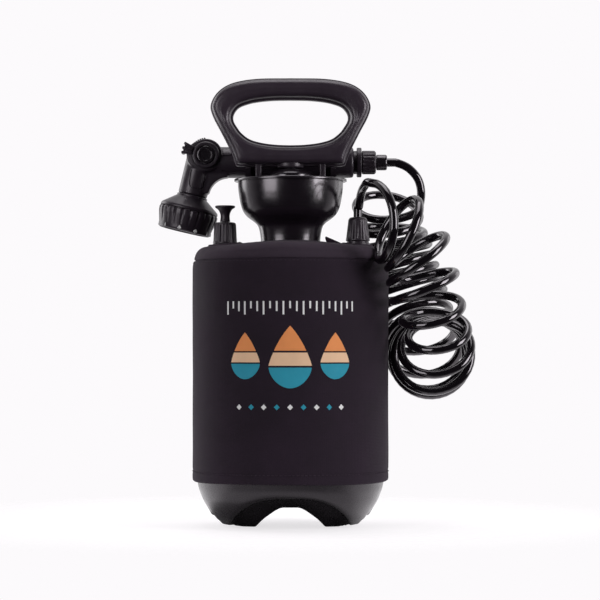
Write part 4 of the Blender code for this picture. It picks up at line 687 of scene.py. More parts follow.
def ripple(point, size, reach=0.02):
    """Slow unevenness of stretched cloth at a place, in millimetres."""
    return size * noise.fractal(Vector((point.x, point.y, point.z * 0.6)) * reach, 0.8, 2, 3)


def build_side_panel():
    """Side of the sleeve: a stretched tube of cloth with a folded hem and a pressed line for the stitches.
    """
    seam_out = shoulder(SLEEVE_OUT, SEAM)[0]
    seam_in = shoulder(SLEEVE_IN, SEAM)[0]
    cloth = TANK_RADIUS + SLEEVE_OUT
    inside = TANK_RADIUS + SLEEVE_IN
    first = HEM_Z + 3
    profile = [(cloth - 1.5, HEM_Z), (cloth - 0.3, HEM_Z + 1)]
    profile += [(cloth, first + (BODY_TOP - first) * number / 60) for number in range(61)]
    for share in (0.35, 0.7, 0.9):
        out = (CORNER_OUT + SLEEVE_OUT) * cos(SEAM * share)
        up = (CORNER_UP + SLEEVE_OUT) * sin(SEAM * share)
        profile.append((CORNER_RADIUS + out, BODY_TOP + up))
    profile += [(seam_out[0] - 0.5, seam_out[1] - 0.2), (seam_out[0] - 1.6, seam_out[1] - 0.3)]
    profile += [(seam_in[0], seam_in[1] - 0.4), (inside, BODY_TOP)]
    profile += [(inside, z) for z in (200, 150, 100, 60, HEM_Z + 1)]
    shape = lathe_shape(profile + [(inside + 0.8, HEM_Z)], 180, closed=True)
    for vertex in shape.verts:
        out = hypot(vertex.co.x, vertex.co.y)
        if out > TANK_RADIUS + 1.2:
            move = ripple(vertex.co, 0.35) - 0.55 * exp(-((vertex.co.z - STITCH_Z) / 1.1) ** 2)
            vertex.co.x *= 1 + move / out
            vertex.co.y *= 1 + move / out
        if vertex.co.z < first:
            vertex.co.z += 0.5 * sin(atan2(vertex.co.y, vertex.co.x) * 3 + 0.6)
    return dress(from_bmesh("sleeve_side_cloth", shape), "neoprene", "shower", "sleeve_side")


def build_stitches(name, radius, height, count=150):
    stitches = bmesh.new()
    for number in range(count):
        line = []
        for step in range(5):
            angle = tau * (number + 0.62 * step / 4) / count
            line.append(round_axis(radius + 0.32 * sin(pi * step / 4), angle, height))
        tube_shape(line, 0.28, 6, shape=stitches)
    dress(from_bmesh(name, stitches), "neoprene_top", "shower", slot="neoprene")


def panel_lift(point):
    """How far the top panel stands up at a place: at the slots' edges, in the middle and in slow ripples."""
    lift = ripple(point, 0.5, 0.05)
    for x in (RELIEF_X, OUTLET_X):
        near = hypot(min((point.x - x) * copysign(1, x), 0), point.y)
        lift += 2 * exp(-((near - 13) / 3.2) ** 2) * (1 if abs(point.x) < 76 else 0.3)
    if point.z > 252:
        out = hypot(point.x, point.y)
        lift += 2.4 * exp(-(point.x / 40) ** 2) * min(max((out - 28) / 12, 0), 1)
    return lift


def build_top_panel():
    """Top of the sleeve: a round panel with a slot for either fitting, its cut edges rounded."""
    throat = 27.6
    corner = shoulder(SLEEVE_OUT, SEAM)[:1] + shoulder(SLEEVE_OUT - 0.4, radians(14), 12, 2.7)[1:]
    line = [(throat, SHOULDER_Z + SLEEVE_OUT)] + corner[::-1]
    line += shoulder(SLEEVE_IN, SEAM) + [(throat, SHOULDER_Z + SLEEVE_IN)]
    panel = from_bmesh("sleeve_top_cloth", lathe_shape(line, 120, closed=True))
    for x in (RELIEF_X, OUTLET_X):
        slot = block("slot", (x, -12, 236), (x + copysign(40, x), 12, 275), 0)
        carve(panel, plug(12.9, 240, 275, spot(x, 0, 0), 48), slot)
    melted(panel, 0.8, 5)
    for vertex in panel.data.vertices:
        vertex.co.z += panel_lift((vertex.co - AXIS) / MM) * MM
    smooth_shade(panel.data, 70)
    flap = extrude_shape([
        (54, 259), (47, 262), (39, 265.6), (32.4, 268.4), (32, 267), (33.2, 263.2), (39, 261.4),
        (47, 258.4)], -13, -5, 0.4)
    # The flap keeps the side cloth's darker colour, not the top panel's lighter copy: painted shade on its
    # standing edge
    dress(from_bmesh("cut_edge_flap", flap), "neoprene", "shower")
    # The top panel wears the lighter copy of the neoprene: painted light from above
    return dress(panel, "neoprene_top", "shower", "sleeve_top")


def build_sleeve():
    side = build_side_panel()
    panel = build_top_panel()
    seam_radius, seam_z = shoulder(SLEEVE_OUT, SEAM)[0]
    build_stitches("hem_stitches", TANK_RADIUS + SLEEVE_OUT - 0.15, STITCH_Z)
    build_stitches("seam_stitches", seam_radius + 0.35, seam_z - 1.9)


# Print on the sleeve's front: places are millimetres round the cloth and up
def cloth_point(round_it, height, proud):
    radius = TANK_RADIUS + SLEEVE_OUT
    angle = round_it / radius - pi / 2
    return round_axis(radius + ripple(round_axis(radius, angle, height), 0.35) + proud, angle, height)


def ink(shape, rows, columns):
    """A thin closed film over the cloth; each row is (height, left edge, right edge)."""
    def mark(row, column, proud):
        height, left, right = row
        return shape.verts.new(cloth_point(left + (right - left) * column / columns, height, proud))

    low, high = [
        [[mark(row, column, proud) for column in range(columns + 1)] for row in rows]
        for proud in (-0.3, 0.14)]
    last = len(rows) - 1
    for r in range(last):
        for c in range(columns):
            shape.faces.new((high[r][c], high[r][c + 1], high[r + 1][c + 1], high[r + 1][c]))
            shape.faces.new((low[r + 1][c], low[r + 1][c + 1], low[r][c + 1], low[r][c]))
        for c in (0, columns):
            shape.faces.new((low[r][c], low[r + 1][c], high[r + 1][c], high[r][c]))
    for r in (0, last):
        for c in range(columns):
            shape.faces.new((low[r][c], low[r][c + 1], high[r][c + 1], high[r][c]))


def drop_half(share):
    """Half width of a drop at a share of its height from the bottom, against its largest."""
    if share <= 0.36:
        return sin(pi * share / 0.72) ** 0.5
    rest = (share - 0.36) / 0.64
    return max((1 - rest ** 1.7) * (1 - 0.35 * rest * (1 - rest)), 0.02)


def build_print():
    """A row of bars, three banded drops and a row of diamonds."""
    films = {shade: bmesh.new() for shade in INKS}
    for number in range(21):
        middle = -60 + 6 * number
        length = (12, 6.5, 9)[number % 3]
        ink(films["print_white"], [(207 - length * n / 6, middle - 0.8, middle + 0.8) for n in range(7)], 2)
    for middle, low, height, half in ((-42, 137, 42, 14.5), (0, 129, 56, 19.5), (42, 137, 42, 14.5)):
        for shade, start, end in (
                ("print_teal", 0.0004, 0.33), ("print_cream", 0.36, 0.57), ("print_orange", 0.60, 0.995)):
            rows = []
            for step in range(25):
                eased = 1 - cos(pi * step / 48) if shade == "print_teal" else step / 24
                share = start + (end - start) * eased
                wide = half * drop_half(share)
                rows.append((low + height * share, middle - wide, middle + wide))
            ink(films[shade], rows, 14)
    for number in range(9):
        middle = -48 + 12 * number
        rows = [(112 + 2.6 * side, middle - wide, middle + wide) for side, wide in (
            (-1, 0.05), (-0.5, 1.3), (0, 2.6), (0.5, 1.3), (1, 0.05))]
        ink(films[("print_white", "print_teal")[number % 2]], rows, 3)
    for shade, shape in films.items():
        dress(from_bmesh("sleeve_" + shade, shape), shade, "shower", slot="neoprene")


# Fill funnel and the cradle on its rim
BOWL_OUTSIDE = [
    (48.9, 319.5), (48.8, 314.7), (48.3, 309.5), (47.7, 305.5), (46.9, 301), (46.1, 297.5), (45.3, 294.8),
    (44.2, 292.2), (42.6, 289.6), (40.2, 286.9), (36.6, 284.1), (32.8, 281.3), (30.4, 278.6), (29.3, 275.7),
    (28.5, 272), (27.9, 268), (27.7, 263), (28.7, 259.6)
]
BOWL_INSIDE = [
    (30, 283.6), (35, 287.6), (39.3, 291.2), (42.2, 295.5), (43.9, 301), (45.4, 308.5), (46.5, 315),
    (47.6, 319.4), (49.9, 321.6)
]


def build_funnel():
    line = soften([
        (49.9, 321.6), (49.95, LIP_Z, 0.8), (LIP_RADIUS, LIP_Z, 1.2), (LIP_RADIUS, 319.5, 0.7),
        (48.9, 319.5)])
    line += curve_through(BOWL_OUTSIDE, 4)[1:]
    line += [Vector(point) for point in ((24.8, 259.5), (24.8, 275.6), (20, 275.6), (20, 280), (26, 280.1))]
    line += curve_through(BOWL_INSIDE, 3)[:-1]
    made("fill_bowl", ("gloss_black", "shower", "fill_funnel"), line, steps=128, closed=True, sharp=50)


def build_cradle():
    rest = made("wand_rest", ("matte_black", "shower", "wand_cradle"), [
        (48, 324.6), (54.7, 324.6, 1.2), (54.8, 316.9, 0.8), (48.9, 316.9), (48.9, 319), (52.65, 319),
        (52.65, 322.3), (48, 322.3)], steps=128, closed=True)
    carve(rest, block("away", (-70, -70, 300), (70, 33, 340), 0))
    arms = bmesh.new()
    angles = [radians(-20 - 140 * step / 32) for step in range(33)]
    upper = [(WAND_Y + 15.05 * cos(angle), WAND_Z + 15.05 * sin(angle)) for angle in angles]
    lower = [
        (WAND_Y + 18.2 * cos(angle), max(WAND_Z + 18.2 * sin(angle), 322.4)) for angle in angles[::-1]]
    for x in (-40, 40):
        add_shape(arms, extrude_shape(upper + lower, -2.5, 2.5, 0.45), spot(x, 0, 0) @ spun(90))
    dress(from_bmesh("wand_saddles", arms), "matte_black", "shower")


# Pump
def build_pump():
    made("pump_screw_cap", ("gloss_black", "pump", "pump_cap"), [
        (7.2, CAP_TOP + 0.1), (11.6, CAP_TOP + 0.1), (11.6, 330.8, 0.3), (14.5, 330.3, 1.5), (18, 328.9, 3),
        (20.5, 326.4, 1.5), (21, 322, 1.2), (21, 286.3, 0.8), (22.5, 285.6, 0.7), (22.5, CAP_LOW, 0.4),
        (19.7, CAP_LOW, 0.3), (19.7, 267, 0.6), (16.3, 267), (16.3, 323.5), (7.2, 323.5)],
        steps=144, closed=True, waver=ribs(36, 0.55, 288, 319, power=2))
    lugs = bmesh.new()
    for turn in (52, 232):
        block_shape((18.5, -4, 317), (24.4, 4, 322), 0.9, shape=lugs, matrix=spun(turn))
    dress(from_bmesh("cap_lugs", lugs), "gloss_black", "pump")
    made("rod_bush", ("gloss_black", "pump", "rod_guide"), [
        (5.3, 324), (5.3, 331.5, 0.3), (8.4, 331.4, 1.5), (11.3, 330.9, 0.3), (11.3, 329.4), (6.9, 329.4),
        (6.9, 324)], closed=True, steps=64)


# Handle: closed lines are held as distances from the middle of the hand hold, one along each ray
HALF_WIDTH = 74.5
HANDLE_HEIGHT = 81.8
OPEN_HALF = 52.5
OPEN_LOW = 19.5
OPEN_HEIGHT = 41.9
PARTING = -2
FACE_Y = 13.6
EDGE_INSET = 6.6
CROWN = 0.4
# Square of twice the distance that is kept from the middle where a full inset would just reach it
NARROWEST = 2.56
EYE_Z = 42
STATIONS = 360
RAYS = [round_axis(1, tau * number / STATIONS, 0).to_2d() for number in range(STATIONS)]
OUTLINE = [
    (0, 1), (0.43, 0.993), (0.728, 0.944), (0.906, 0.845), (0.996, 0.702), (0.972, 0.572), (0.862, 0.379),
    (0.742, 0.16), (0.682, 0)
]
OPENING = [
    (0, 1), (0.32, 0.993), (0.61, 0.955), (0.79, 0.90), (0.91, 0.835), (0.985, 0.73), (1.015, 0.62),
    (1, 0.51), (0.945, 0.395), (0.87, 0.27), (0.72, 0.13), (0.50, 0.05), (0.24, 0.01), (0, 0)
]
HANDLE_SCREWS = [(-42.6, 14.9), (-60.86, 55.8), (42.6, 14.9), (60.86, 55.8)]


def mirrored(half):
    """Right half of an outline, then its mirror image, as one closed ring of points."""
    return half + [Vector((-point.x, point.y)) for point in reversed(half) if abs(point.x) > 1e-6]


def rounded_ring(ring, radius, steps=5):
    """Rounds only the sharp corners of a closed ring."""
    line = []
    for number, here in enumerate(ring):
        back = ring[number - 1] - here
        onward = ring[(number + 1) % len(ring)] - here
        if back.angle(onward) > radians(150):
            line.append(here)
        else:
            reach_back = min(radius, back.length * 0.9)
            reach_on = min(radius, onward.length * 0.45)
            line += bend(here, back, onward, reach_back, reach_on, steps)
    return line


def crossing(ray, a, b):
    """How far out a ray crosses the edge from a to b, or nothing."""
    edge = b - a
    cross = ray.x * edge.y - ray.y * edge.x
    if abs(cross) < 1e-9 or not -1e-6 <= (a.x * ray.y - a.y * ray.x) / cross <= 1 + 1e-6:
        return None
    away = (a.x * edge.y - a.y * edge.x) / cross
    return away if away > 0 else None


def by_ray(ring):
    points = [point - Vector((0, EYE_Z)) for point in ring]
    edges = list(zip(points, points[1:] + points[:1]))
    return [max(filter(None, [crossing(ray, a, b) for a, b in edges])) for ray in RAYS]


def moved(line, distance, reach=16):
    """Moves a closed line to its own inner side by a distance, and reads it again along the rays."""
    points = [ray * out for ray, out in zip(RAYS, line)]
    inset = []
    for number, point in enumerate(points):
        along = points[(number + 1) % STATIONS] - points[number - 1]
        inset.append(point + Vector((-along.y, along.x)).normalized() * distance)
    outs = []
    for number, ray in enumerate(RAYS):
        near = [inset[(number + step) % STATIONS] for step in range(-reach, reach + 1)]
        hits = filter(None, [crossing(ray, a, b) for a, b in zip(near, near[1:])])
        outs.append(min(hits, default=inset[number].length))
    for _ in range(round(abs(distance))):
        outs = [(outs[n - 1] + 2 * outs[n] + outs[(n + 1) % STATIONS]) / 4 for n in range(STATIONS)]
    return outs


def held(line, start, middle, side):
    """Keeps a moved line on its own side of the middle, where the ring is too narrow for the full inset."""
    kept = []
    for out, first, away in zip(line, start, middle):
        full = side * (first - away)
        left = side * (out - away)
        share = (left + sqrt(left ** 2 + NARROWEST)) / (full + sqrt(full ** 2 + NARROWEST))
        kept.append(away + side * share * full)
    return kept


def ring_shell(name, outer, inner, rows, flip):
    """A rounded ring between two closed lines: each row is (how far in from either edge, depth)."""
    middle = [(a + b) / 2 for a, b in zip(outer, inner)]
    out_lines = [(held(moved(outer, inset), outer, middle, 1), depth) for inset, depth in rows]
    in_lines = [(held(moved(inner, -inset), inner, middle, -1), depth) for inset, depth in rows]
    face = []
    for share in (0.2, 0.4, 0.6, 0.8):
        line = [a + (b - a) * share for a, b in zip(out_lines[-1][0], in_lines[-1][0])]
        face.append((line, rows[-1][1] + flip * CROWN * sin(pi * share)))
    shape = bmesh.new()
    rings = [[
        shape.verts.new((ray.x * out, depth, EYE_Z + ray.y * out)) for ray, out in zip(RAYS, line)]
        for line, depth in out_lines + face + in_lines[::-1]]
    for low, high in zip(rings, rings[1:] + rings[:1]):
        join_rings(shape, low, high)
    return dress(from_bmesh(name, shape, spot(0, 0, HANDLE_Z)), "handle_black", "plunger")


def quarter(start, end, steps=9, power=2.3):
    """Rows of a rounded edge: from the side at a depth to the face at another."""
    rows = []
    for step in range(steps + 1):
        angle = pi / 2 * step / steps
        inset = EDGE_INSET * (1 - cos(angle) ** (2 / power))
        rows.append((inset, start + (end - start) * sin(angle) ** (2 / power)))
    return rows


def build_screws(shell, what, body, heads, sunk, long):
    """Pan-head screws with a cross recess, each in its hole in the rear of a shell."""
    for number, (x, y, z) in enumerate(heads, 1):
        carve(shell, plug(3.4, 0, long, spot(x, y - sunk, z) @ ALONG_Y))
        screw = made(f"{what}_screw_head_{number}", ("steel", body, f"{what}_screw_{number}"), [
            (0, 0), (2.2, 0, 0.5), (3.05, 0.8, 0.6), (3.1, 2.2, 0.2), (1.6, 2.2), (1.6, 19, 0.4), (0, 22)],
            spot(x, y, z) @ ALONG_Y.inverted(), 32)
        for wide, high in ((1.7, 0.4), (0.4, 1.7)):
            carve(screw, block("cross", (x - wide, y - 1.1, z - high), (x + wide, y + 0.6, z + high), 0.1))


def build_handle():
    outer = curve_through([(x * HALF_WIDTH, z * HANDLE_HEIGHT) for x, z in OUTLINE], 6)
    inner = curve_through([(x * OPEN_HALF, OPEN_LOW + z * OPEN_HEIGHT) for x, z in OPENING], 5)
    outer = by_ray(rounded_ring(mirrored(outer), 4.5))
    inner = by_ray(mirrored(inner))
    rows = [(0.5, PARTING - 0.2), (0, PARTING - 0.8)] + quarter(PARTING - 2.5, -FACE_Y)
    front = ring_shell("handle_front_shell", moved(outer, 1.5), moved(inner, -2.2), rows, -1)
    rows = [(0.9, PARTING + 0.1), (0.25, PARTING + 0.35), (0, PARTING + 1.1)] + quarter(4, FACE_Y)
    rear = ring_shell("handle_rear_shell", outer, inner, rows, 1)
    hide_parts("handle_front")
    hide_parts("handle_rear")
    hooks = bmesh.new()
    for side in (-1, 1):
        block_shape((side * 27.05, -6, -19), (side * 32.55, 6, 3), 0.9, shape=hooks)
        block_shape((side * 24.65, -6, -22), (side * 32.55, 6, -18.4), 0.9, shape=hooks)
    boss = soften([(5.6, -1.9), (11.6, -1.9, 0.8), (12.3, -0.6, 0.8), (12.3, 3), (5.6, 3)])
    lathe_shape(boss, 48, closed=True, shape=hooks)
    legs = melted(from_bmesh("handle_legs", hooks, spot(0, 0, HANDLE_Z)), 0.45, 4)
    for middle in (-29.8, 29.8):
        carve(legs, block(
            "groove", (middle - 0.6, -7, -20), (middle + 0.6, -5.3, -3.5), 0.3, spot(0, 0, HANDLE_Z)))
    # The legs and boss take the darker matte black, not the handle's own black: painted shade under the
    # handle
    dress(legs, "matte_black", "plunger")
    heads = [(x, 13.2, HANDLE_Z + z) for x, z in HANDLE_SCREWS]
    build_screws(rear, "handle", "plunger", heads, 3.6, 9)
    made("pump_rod", ("matte_black", "plunger", "piston_rod"), [
        (0, 131), (4.9, 131, 0.5), (5, 345.5, 0.5), (0, 345.5)], steps=40)


# Relief valve
SPRING_TURNS = 4
SPRING_POINTS = 28


def build_relief():
    here = spot(RELIEF_X, 0, PORT_Z)
    made("relief_base", ("matte_black", "shower", "relief_body"), [
        (5.3, -12), (7.1, -12), (7.1, 0), (11.5, 0, 0.4), (11.6, 2.4, 0.5), (7.1, 2.4), (7.1, 15.5),
        (5.3, 15.5)], here, 64, closed=True)
    made("relief_ribbed_nut", ("matte_black", "shower", "relief_nut"), [
        (2.9, 22.3), (8.2, 22.3, 0.8), (9.8, 21.5, 0.7), (10.3, 19.5, 0.6), (11, 5, 0.8), (11.3, 3.6, 0.6),
        (11.2, 2.75, 0.3), (7.5, 2.75), (7.5, 16.2), (2.9, 16.2)],
        here, 160, closed=True, waver=ribs(16, 0.8, 3.4, 20.6, power=4))
    made("relief_pull_knob", ("matte_black", "relief", "relief_knob"), [
        (0, 37.4), (6, 37.6, 1), (8.6, 37.9, 0.8), (9.4, 37.2, 0.8), (9.2, 36, 0.6), (6.6, 34.4, 1),
        (4.9, 31.6, 1.5), (4.2, 28.6, 1.5), (4.4, 25, 1.2), (4.9, 22.9, 0.3), (2.6, 22.8), (2.6, -9.4),
        (0, -9.4)], here)
    low, high = [corner.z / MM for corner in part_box("relief_spring")]
    count = SPRING_TURNS * SPRING_POINTS
    coil = [
        round_axis(3.9, tau * number / SPRING_POINTS, low + 0.4 + (high - low - 0.8) * number / count)
        for number in range(count + 1)]
    spring = from_bmesh("relief_wire_spring", tube_shape(coil, 0.4, 8), spot(RELIEF_X, 0, 0))
    coat(spring, "steel", "steel", "relief_spring")
    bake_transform(spring)


# Outlet
def build_outlet():
    here = spot(OUTLET_X, 0, PORT_Z)
    made("outlet_stem", ("matte_black", "shower", "outlet_fitting"), [
        (1.8, 16.6), (6.8, 16.6, 0.3), (6.8, 4.6), (10.3, 4.6, 0.4), (10.3, 3), (11.5, 3, 0.4),
        (11.6, 0, 0.3), (7.1, 0), (7.1, -11), (3, -11), (3, -20), (1.8, -20)], here, 64, closed=True)
    made("outlet_ribbed_nut", ("matte_black", "shower", "outlet_nut"), [
        (2.4, 27.2), (4.8, 27.2, 0.4), (7.4, 26.7, 1), (8.8, 24.8, 1), (10.9, 7.6, 0.8), (11.2, 5.8, 0.6),
        (11, 4.95, 0.3), (7.2, 4.95), (7.2, 22.8), (2.4, 22.8)],
        here, 160, closed=True, waver=ribs(16, 0.8, 6, 24, power=4))


# Wand, about its own middle line
BARREL_RADIUS = 14.7
NECK_RADIUS = 13.8
WEB_RADIUS = 18.5
WAND = spot(0, WAND_Y, WAND_Z)
HUB = spot(HUB_X, 0, HUB_Z - WAND_Z)
NECK_GROOVES = [
    [(-93, 333), (-94.3, 325), (-94.6, 318.4), (-91.8, 315.9), (-84.6, 315.1), (-82.1, 318.6),
     (-81.4, 323.9)]
]
BARREL_GROOVES = [
    [(-64.5, 331.9), (-40, 331.7), (0, 331.7), (40, 331.7)],
    [(-67, 346.6), (-61, 345.4), (-54, 346.6)]
]


def head_point(distance):
    """Place down the head's axis, at a distance from the level of the hub's middle."""
    return (HUB_X - NECK_OUTSET - distance * sin(TILT), HUB_Z - WAND_Z - distance * cos(TILT))


def web_outline():
    """Rounded inner corner between the barrel and the neck."""
    low_x, low_z = head_point(NECK_LENGTH * 0.92)
    middle_x = low_x + (NECK_RADIUS + WEB_RADIUS) / cos(TILT)
    line = [(HUB_X, 0), (middle_x, 0)]
    for step in range(17):
        angle = radians(90 + 80 * step / 16)
        line.append((
            middle_x + WEB_RADIUS * cos(angle), WEB_RADIUS * sin(angle) - BARREL_RADIUS - WEB_RADIUS))
    return line + [(low_x, line[-1][1])]


def on_neck(x, z):
    """A place on the front of the neck, from X and Z."""
    across = (x - HUB_X + NECK_OUTSET) * cos(TILT) - (z - HUB_Z) * sin(TILT)
    return Vector((x, WAND_Y - sqrt(max(13.2 ** 2 - across ** 2, 1)), z))


def on_barrel(x, z):
    """A place on the front of the grip, from X and Z."""
    return Vector((x, WAND_Y - sqrt(14.2 ** 2 - (z - WAND_Z) ** 2), z))


def build_shells():
    """Front and rear half of the wand, parted by a fine gap, with pressed grooves in front."""
    barrel = soften([
        (0, HUB_X), (BARREL_RADIUS, HUB_X), (BARREL_RADIUS, 52), (14.3, WAND_END_X, 2.2), (0, WAND_END_X)])
    heap = add_shape(bmesh.new(), lathe_shape(barrel), ALONG_X)
    for radius, half, x in ((15.6, 14.6, HUB_X), (NECK_RADIUS, 14.2, HUB_X - NECK_OUTSET)):
        disc = lathe_shape(soften([(0, -half), (radius, -half, 1.6), (radius, half, 1.6), (0, half)]), 64)
        add_shape(heap, disc, spot(x, 0, HUB_Z - WAND_Z) @ ALONG_Y)
    neck = soften([(0, 0), (NECK_RADIUS, 0, 0.8), (13.6, NECK_LENGTH), (0, NECK_LENGTH)])
    x, z = head_point(NECK_LENGTH)
    add_shape(heap, lathe_shape(neck, 64), spot(x, 0, z) @ spun(TILT_DEGREES, "Y"))
    add_shape(heap, extrude_shape(web_outline(), -10, 10))
    rear = melted(from_bmesh("wand_rear_body", heap, WAND), 0.8, 8)
    front = rear.copy()
    front.data = rear.data.copy()
    front.name = "wand_front_body"
    link(front)
    for piece, near, far in ((rear, 0.25, 40), (front, -0.25, -40)):
        kept = block("kept", (-140, near, -80), (80, far, 40), 0, WAND)
        carve(piece, kept, operation="INTERSECT")
    heads = [(x, WAND_Y + 6.6, WAND_Z + 10.4) for x in (-52, -4, 44)]
    build_screws(rear, "wand", "wand", heads, 2.2, 12)
    grooves = bmesh.new()
    for lines, place in ((NECK_GROOVES, on_neck), (BARREL_GROOVES, on_barrel)):
        for line in lines:
            tube_shape([place(*point) for point in curve_through(line, 5)], 0.85, 8, shape=grooves)
    carve(front, from_bmesh("grooves", grooves))
    dress(rear, "wand_black", "wand", "wand_shell_rear")
    dress(front, "wand_black", "wand", "wand_shell_front")


def build_elbow_ribs():
    teeth = bmesh.new()
    for number in range(6):
        turn = spun(-96 - 7.2 * number, "Y")
        block_shape((14.6, -8, -0.8), (17.1, 8, 0.8), 0.5, shape=teeth, matrix=WAND @ HUB @ turn)
    dress(from_bmesh("elbow_ribs", teeth), "wand_black", "wand")


def build_lever():
    here = WAND @ HUB @ spun(90, "X")
    made("lever_disc", ("wand_black", "lever", "thumb_lever"), [
        (5.9, 14.9), (12.5, 14.9, 0.3), (12.6, 17.8, 0.8), (11.6, 19, 0.6), (9.1, 19, 0.3), (9.1, 17.2),
        (5.9, 17.2)], here, 96, closed=True)
    arm = bmesh.new()
    block_shape((11, -4.2, 15.2), (21.6, 4.2, 17.6), 0.6, shape=arm)
    block_shape((19.1, -4.6, 3), (21.8, 4.6, 17.6), 0.9, shape=arm)
    for turn in (-11.5, 0, 11.5):
        block_shape((13.2, -1.25, 15.6), (23.3, 1.25, 19.4), 0.8, shape=arm, matrix=spun(turn))
        block_shape((20.4, -1.25, 3.6), (23.3, 1.25, 19), 0.8, shape=arm, matrix=spun(turn))
    dress(from_bmesh("lever_thumb_tab", arm, here @ spun(162)), "wand_black", "lever")
    made("lever_button", ("gloss_black", "lever", "lever_cap"), [
        (0, 17.5), (8.6, 17.5), (8.6, 18.9, 0.5), (7.7, 19.6, 0.5), (5.6, 19.7, 0.3), (5.3, 19.2, 0.3),
        (0, 19.3)], here)


DIAL_TOP = -14.6
DIAL_HEIGHT = 20.8
DIAL_FLUTES = 22
FAN_MARKS = (0, 1, 3)


def build_head():
    x, z = head_point(NECK_LENGTH)
    here = WAND @ spot(x, 0, z) @ spun(TILT_DEGREES, "Y")
    top = DIAL_TOP
    low = top - DIAL_HEIGHT
    made("head_cone", ("wand_black", "wand", "spray_head"), [
        (0, -0.3), (14.1, -0.3, 0.5), (14.6, -1.1, 0.5), (14.3, -2.2, 0.3), (15.2, -2.8, 0.5),
        (26.9, -11.6, 1.5), (27.5, -13.2, 0.8), (27.5, -14.3, 0.2), (22.4, -14.3), (22.4, -11.2), (4.6, -4),
        (4.6, -30.6), (0, -30.6)], here, 96)
    made("dial_ring", ("wand_black", "dial", "spray_dial"), [
        (5, low + 4.2), (22, low + 4.2), (22, low, 0.3), (23.5, low, 0.5), (24.6, low + 1.2, 0.8),
        (25.2, low + 4.5, 1), (28, top - 5, 1.4), (28.1, top - 1.4, 1), (27.2, top, 0.5), (22.5, top),
        (22.5, top - 14), (5, top - 14)], here, DIAL_FLUTES * 14, closed=True,
        waver=ribs(DIAL_FLUTES, 0.95, low + 6.8, top + 2, power=5, fade=1.6))
    marks = bmesh.new()
    for number in range(10):
        place = spun(-98.7 + 36 * number) @ spot(0, 0, low + 4)
        for lean in (-32, 0, 32) if number % 5 in FAN_MARKS else (0,):
            block_shape((24.2, -0.42, -3), (25.5, 0.42, 0), 0.12, 2, marks, place @ spun(lean, "X"))
    dress(from_bmesh("dial_marks", marks, here), "print_white", "dial", slot="wand_black")
    face = lathe_shape(soften([
        (0, low + 3.9), (21.8, low + 3.9), (21.8, low + 1, 0.5), (18, low + 1, 0.4), (17.4, low + 1.7, 0.4),
        (9, low + 1.7, 0.4), (8.4, low + 1.1, 0.4), (0, low + 1.1)]))
    for count, out in ((6, 4.6), (12, 12), (18, 15.2)):
        for number in range(count):
            jet = lathe_shape(soften([(0, 0.8), (0.75, 0.8, 0.2), (0.9, 1.6)]), 10)
            add_shape(face, jet, Matrix.Translation(round_axis(out, tau * number / count, low)))
    dress(from_bmesh("nozzle_face", face, here), "gloss_black", "dial", "nozzle_plate")


def build_wand_end():
    here = WAND @ spot(WAND_END_X, 0, 0) @ ALONG_X
    made("wand_flange", ("matte_black", "wand", "wand_collar"), [
        (3, 0.2), (11, 0.2), (11, 3, 0.4), (13.6, 3, 0.5), (14, 3.6, 0.4), (14, 7, 0.6),
        (13.4, 7.5, 0.3), (8.2, 7.5), (8.2, 16), (3, 16)], here, closed=True)
    made("wand_ribbed_nut", ("matte_black", "wand", "wand_nut"), [
        (5.7, 19.4), (5.7, 21.2), (9.6, 21.2, 0.8), (10.6, 20.4, 0.5), (11.2, 19.4, 0.5), (11.2, 9, 0.5),
        (10.6, 7.9, 0.5), (8.5, 7.8), (8.5, 19.4)],
        here, 144, closed=True, waver=ribs(18, 0.7, 8.8, 20, power=1.5, fade=1))
    made("hose_sleeve", ("gloss_black", "wand", "hose_ferrule"), [
        (0, 18), (5.4, 18), (5.4, 21.6), (6.9, 21.6, 0.5), (7.4, 22.4, 0.4), (7.4, 30.4, 0.8),
        (6.6, 31.6, 0.6), (0, 31.6)], here, 64)


# Stage and light
WHITE = (0.974, 0.956, 0.974, 1)
FLOOR_STRENGTH = 0.73


def build_stage():
    """Pale floor under the object that fades into the white backdrop around it."""
    shade, tree, skin = wired("pale_floor")
    fed(tree, skin, Base_Color=(0.36, 0.35, 0.36, 1), Roughness=0.7, Specular_IOR_Level=0.1)
    place = put(tree, "TexCoord")["Object"]
    parts = put(tree, "SeparateXYZ", place)
    # For all but the camera the floor glows at the base's sides and in a ring round it: painted bounce
    # light, seen on the base and in its reflections
    aside = put(tree, "Math", parts["X"], operation="ABSOLUTE")[0]
    beside = put(tree, "Math", aside, 0.6, parts["Y"], operation="MULTIPLY_ADD")[0]
    lit = put(tree, "MapRange", beside, -0.05, 0.06, 0, 1.1, interpolation_type="SMOOTHSTEP")[0]
    away = put(tree, "VectorMath", place, operation="LENGTH")["Value"]
    ring = ramp(tree, away, (0.08, grey(0)), (0.10, grey(0.6)), (0.13, grey(0.6)), (0.19, grey(0)))
    under = put(tree, "MapRange", away, 0.075, 0.10)[0]
    sides = put(tree, "Math", lit, under, operation="MULTIPLY")[0]
    bounce = put(tree, "Math", sides, ring, operation="MAXIMUM")[0]
    seen = put(tree, "LightPath")["Is Camera Ray"]
    strength = put(tree, "Mix", seen, None, bounce, FLOOR_STRENGTH, data_type="FLOAT")[0]
    glow = put(tree, "Emission", WHITE, strength)[0]
    both = put(tree, "AddShader", skin.outputs[0], glow)[0]
    behind = put(tree, "Mapping", place, Location=(0, -0.08, 0))[0]
    out = put(tree, "VectorMath", behind, operation="LENGTH")["Value"]
    fade = put(tree, "MapRange", out, 0.16, 0.42, interpolation_type="SMOOTHSTEP")[0]
    clear = put(tree, "BsdfTransparent")[0]
    surface = put(tree, "MixShader", fade, both, clear)[0]
    tree.links.new(surface, tree.nodes["Material Output"].inputs["Surface"])
    floor = bmesh.new()
    bmesh.ops.create_grid(floor, x_segments=8, y_segments=8, size=1500)
    ground = from_bmesh("pale_floor", floor)
    ground.data.materials.append(shade)


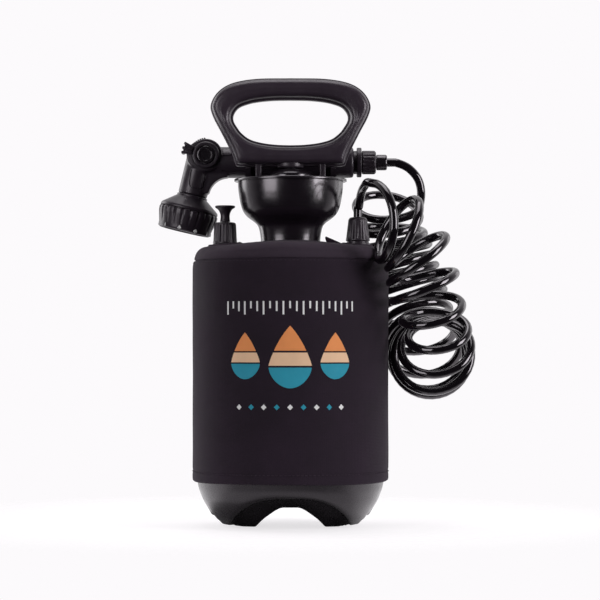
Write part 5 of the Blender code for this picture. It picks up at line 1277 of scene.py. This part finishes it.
def build_world():
    """White for the camera; anything else gets light from behind only."""
    sky = bpy.data.worlds.new("studio")
    bpy.context.scene.world = sky
    sky.use_nodes = True
    tree = sky.node_tree
    depth = put(tree, "SeparateXYZ", put(tree, "TexCoord")["Generated"])["Y"]
    back = put(tree, "MapRange", depth, -0.22, 0.6, 0.02, 1)[0]
    tone = mixed(tree, back, (0, 0, 0, 1), (0.97, 0.955, 0.97, 1))
    light = fed(tree, tree.nodes["Background"], tone, 0.85)[0]
    white = put(tree, "Background", WHITE, 1)[0]
    seen = put(tree, "LightPath")["Is Camera Ray"]
    surface = put(tree, "MixShader", seen, light, white)[0]
    tree.links.new(surface, tree.nodes["World Output"].inputs["Surface"])


# Name, place, the height that it points at, width, height and power of each lamp, in metres and watts
LAMPS = [
    ("left_box", (-1.04, -1.08, 0.50), 0.25, 0.80, 1.1, 11),
    ("right_box", (1.34, -0.68, 0.50), 0.25, 0.60, 1.1, 18),
    ("left_rim", (-1.2, 0.9, 0.5), 0.2, 0.7, 1.4, 7),
    ("right_rim", (1.2, 0.9, 0.5), 0.2, 0.7, 1.4, 2.5),
    ("top_box", (0, 0.1, 1.7), 0.3, 1, 1, 9),
]


def build_lamps():
    for name, place, aim, width, height, power in LAMPS:
        light = bpy.data.lights.new(name, "AREA")
        light.shape = "RECTANGLE"
        light.size = width
        light.size_y = height
        light.energy = power
        holder = link(bpy.data.objects.new(name, light))
        holder.location = place
        way = Vector((0, 0, aim)) - Vector(place)
        holder.rotation_euler = way.to_track_quat("-Z", "Y").to_euler()


build_hose()
build_tank()
build_sleeve()
build_print()
build_funnel()
build_cradle()
build_pump()
build_handle()
build_relief()
build_outlet()
build_shells()
build_elbow_ribs()
build_lever()
build_head()
build_wand_end()
build_stage()
build_world()
build_lamps()

# CAD pieces that stay in sight, or inside, with a finish of their own
STAYS = {
    "seal_rubber": [
        "funnel_gasket", "pump_seal", "check_valve", "piston_ring", "relief_gasket", "relief_seal",
        "outlet_gasket", "wand_gasket"],
    "inner_plastic": [
        "pump_cylinder", "piston", "dip_tube", "dip_filter", "water_tube", "neck_tube", "valve_core"],
    "matte_black": ["rod_pin"],
}
for shade, nodes in STAYS.items():
    for node in nodes:
        for material_slot in frame["nodes"][node].material_slots:
            material_slot.material = SHADES[shade]

bpy.context.scene.view_settings.view_transform = "Standard"
bpy.context.view_layer.update()
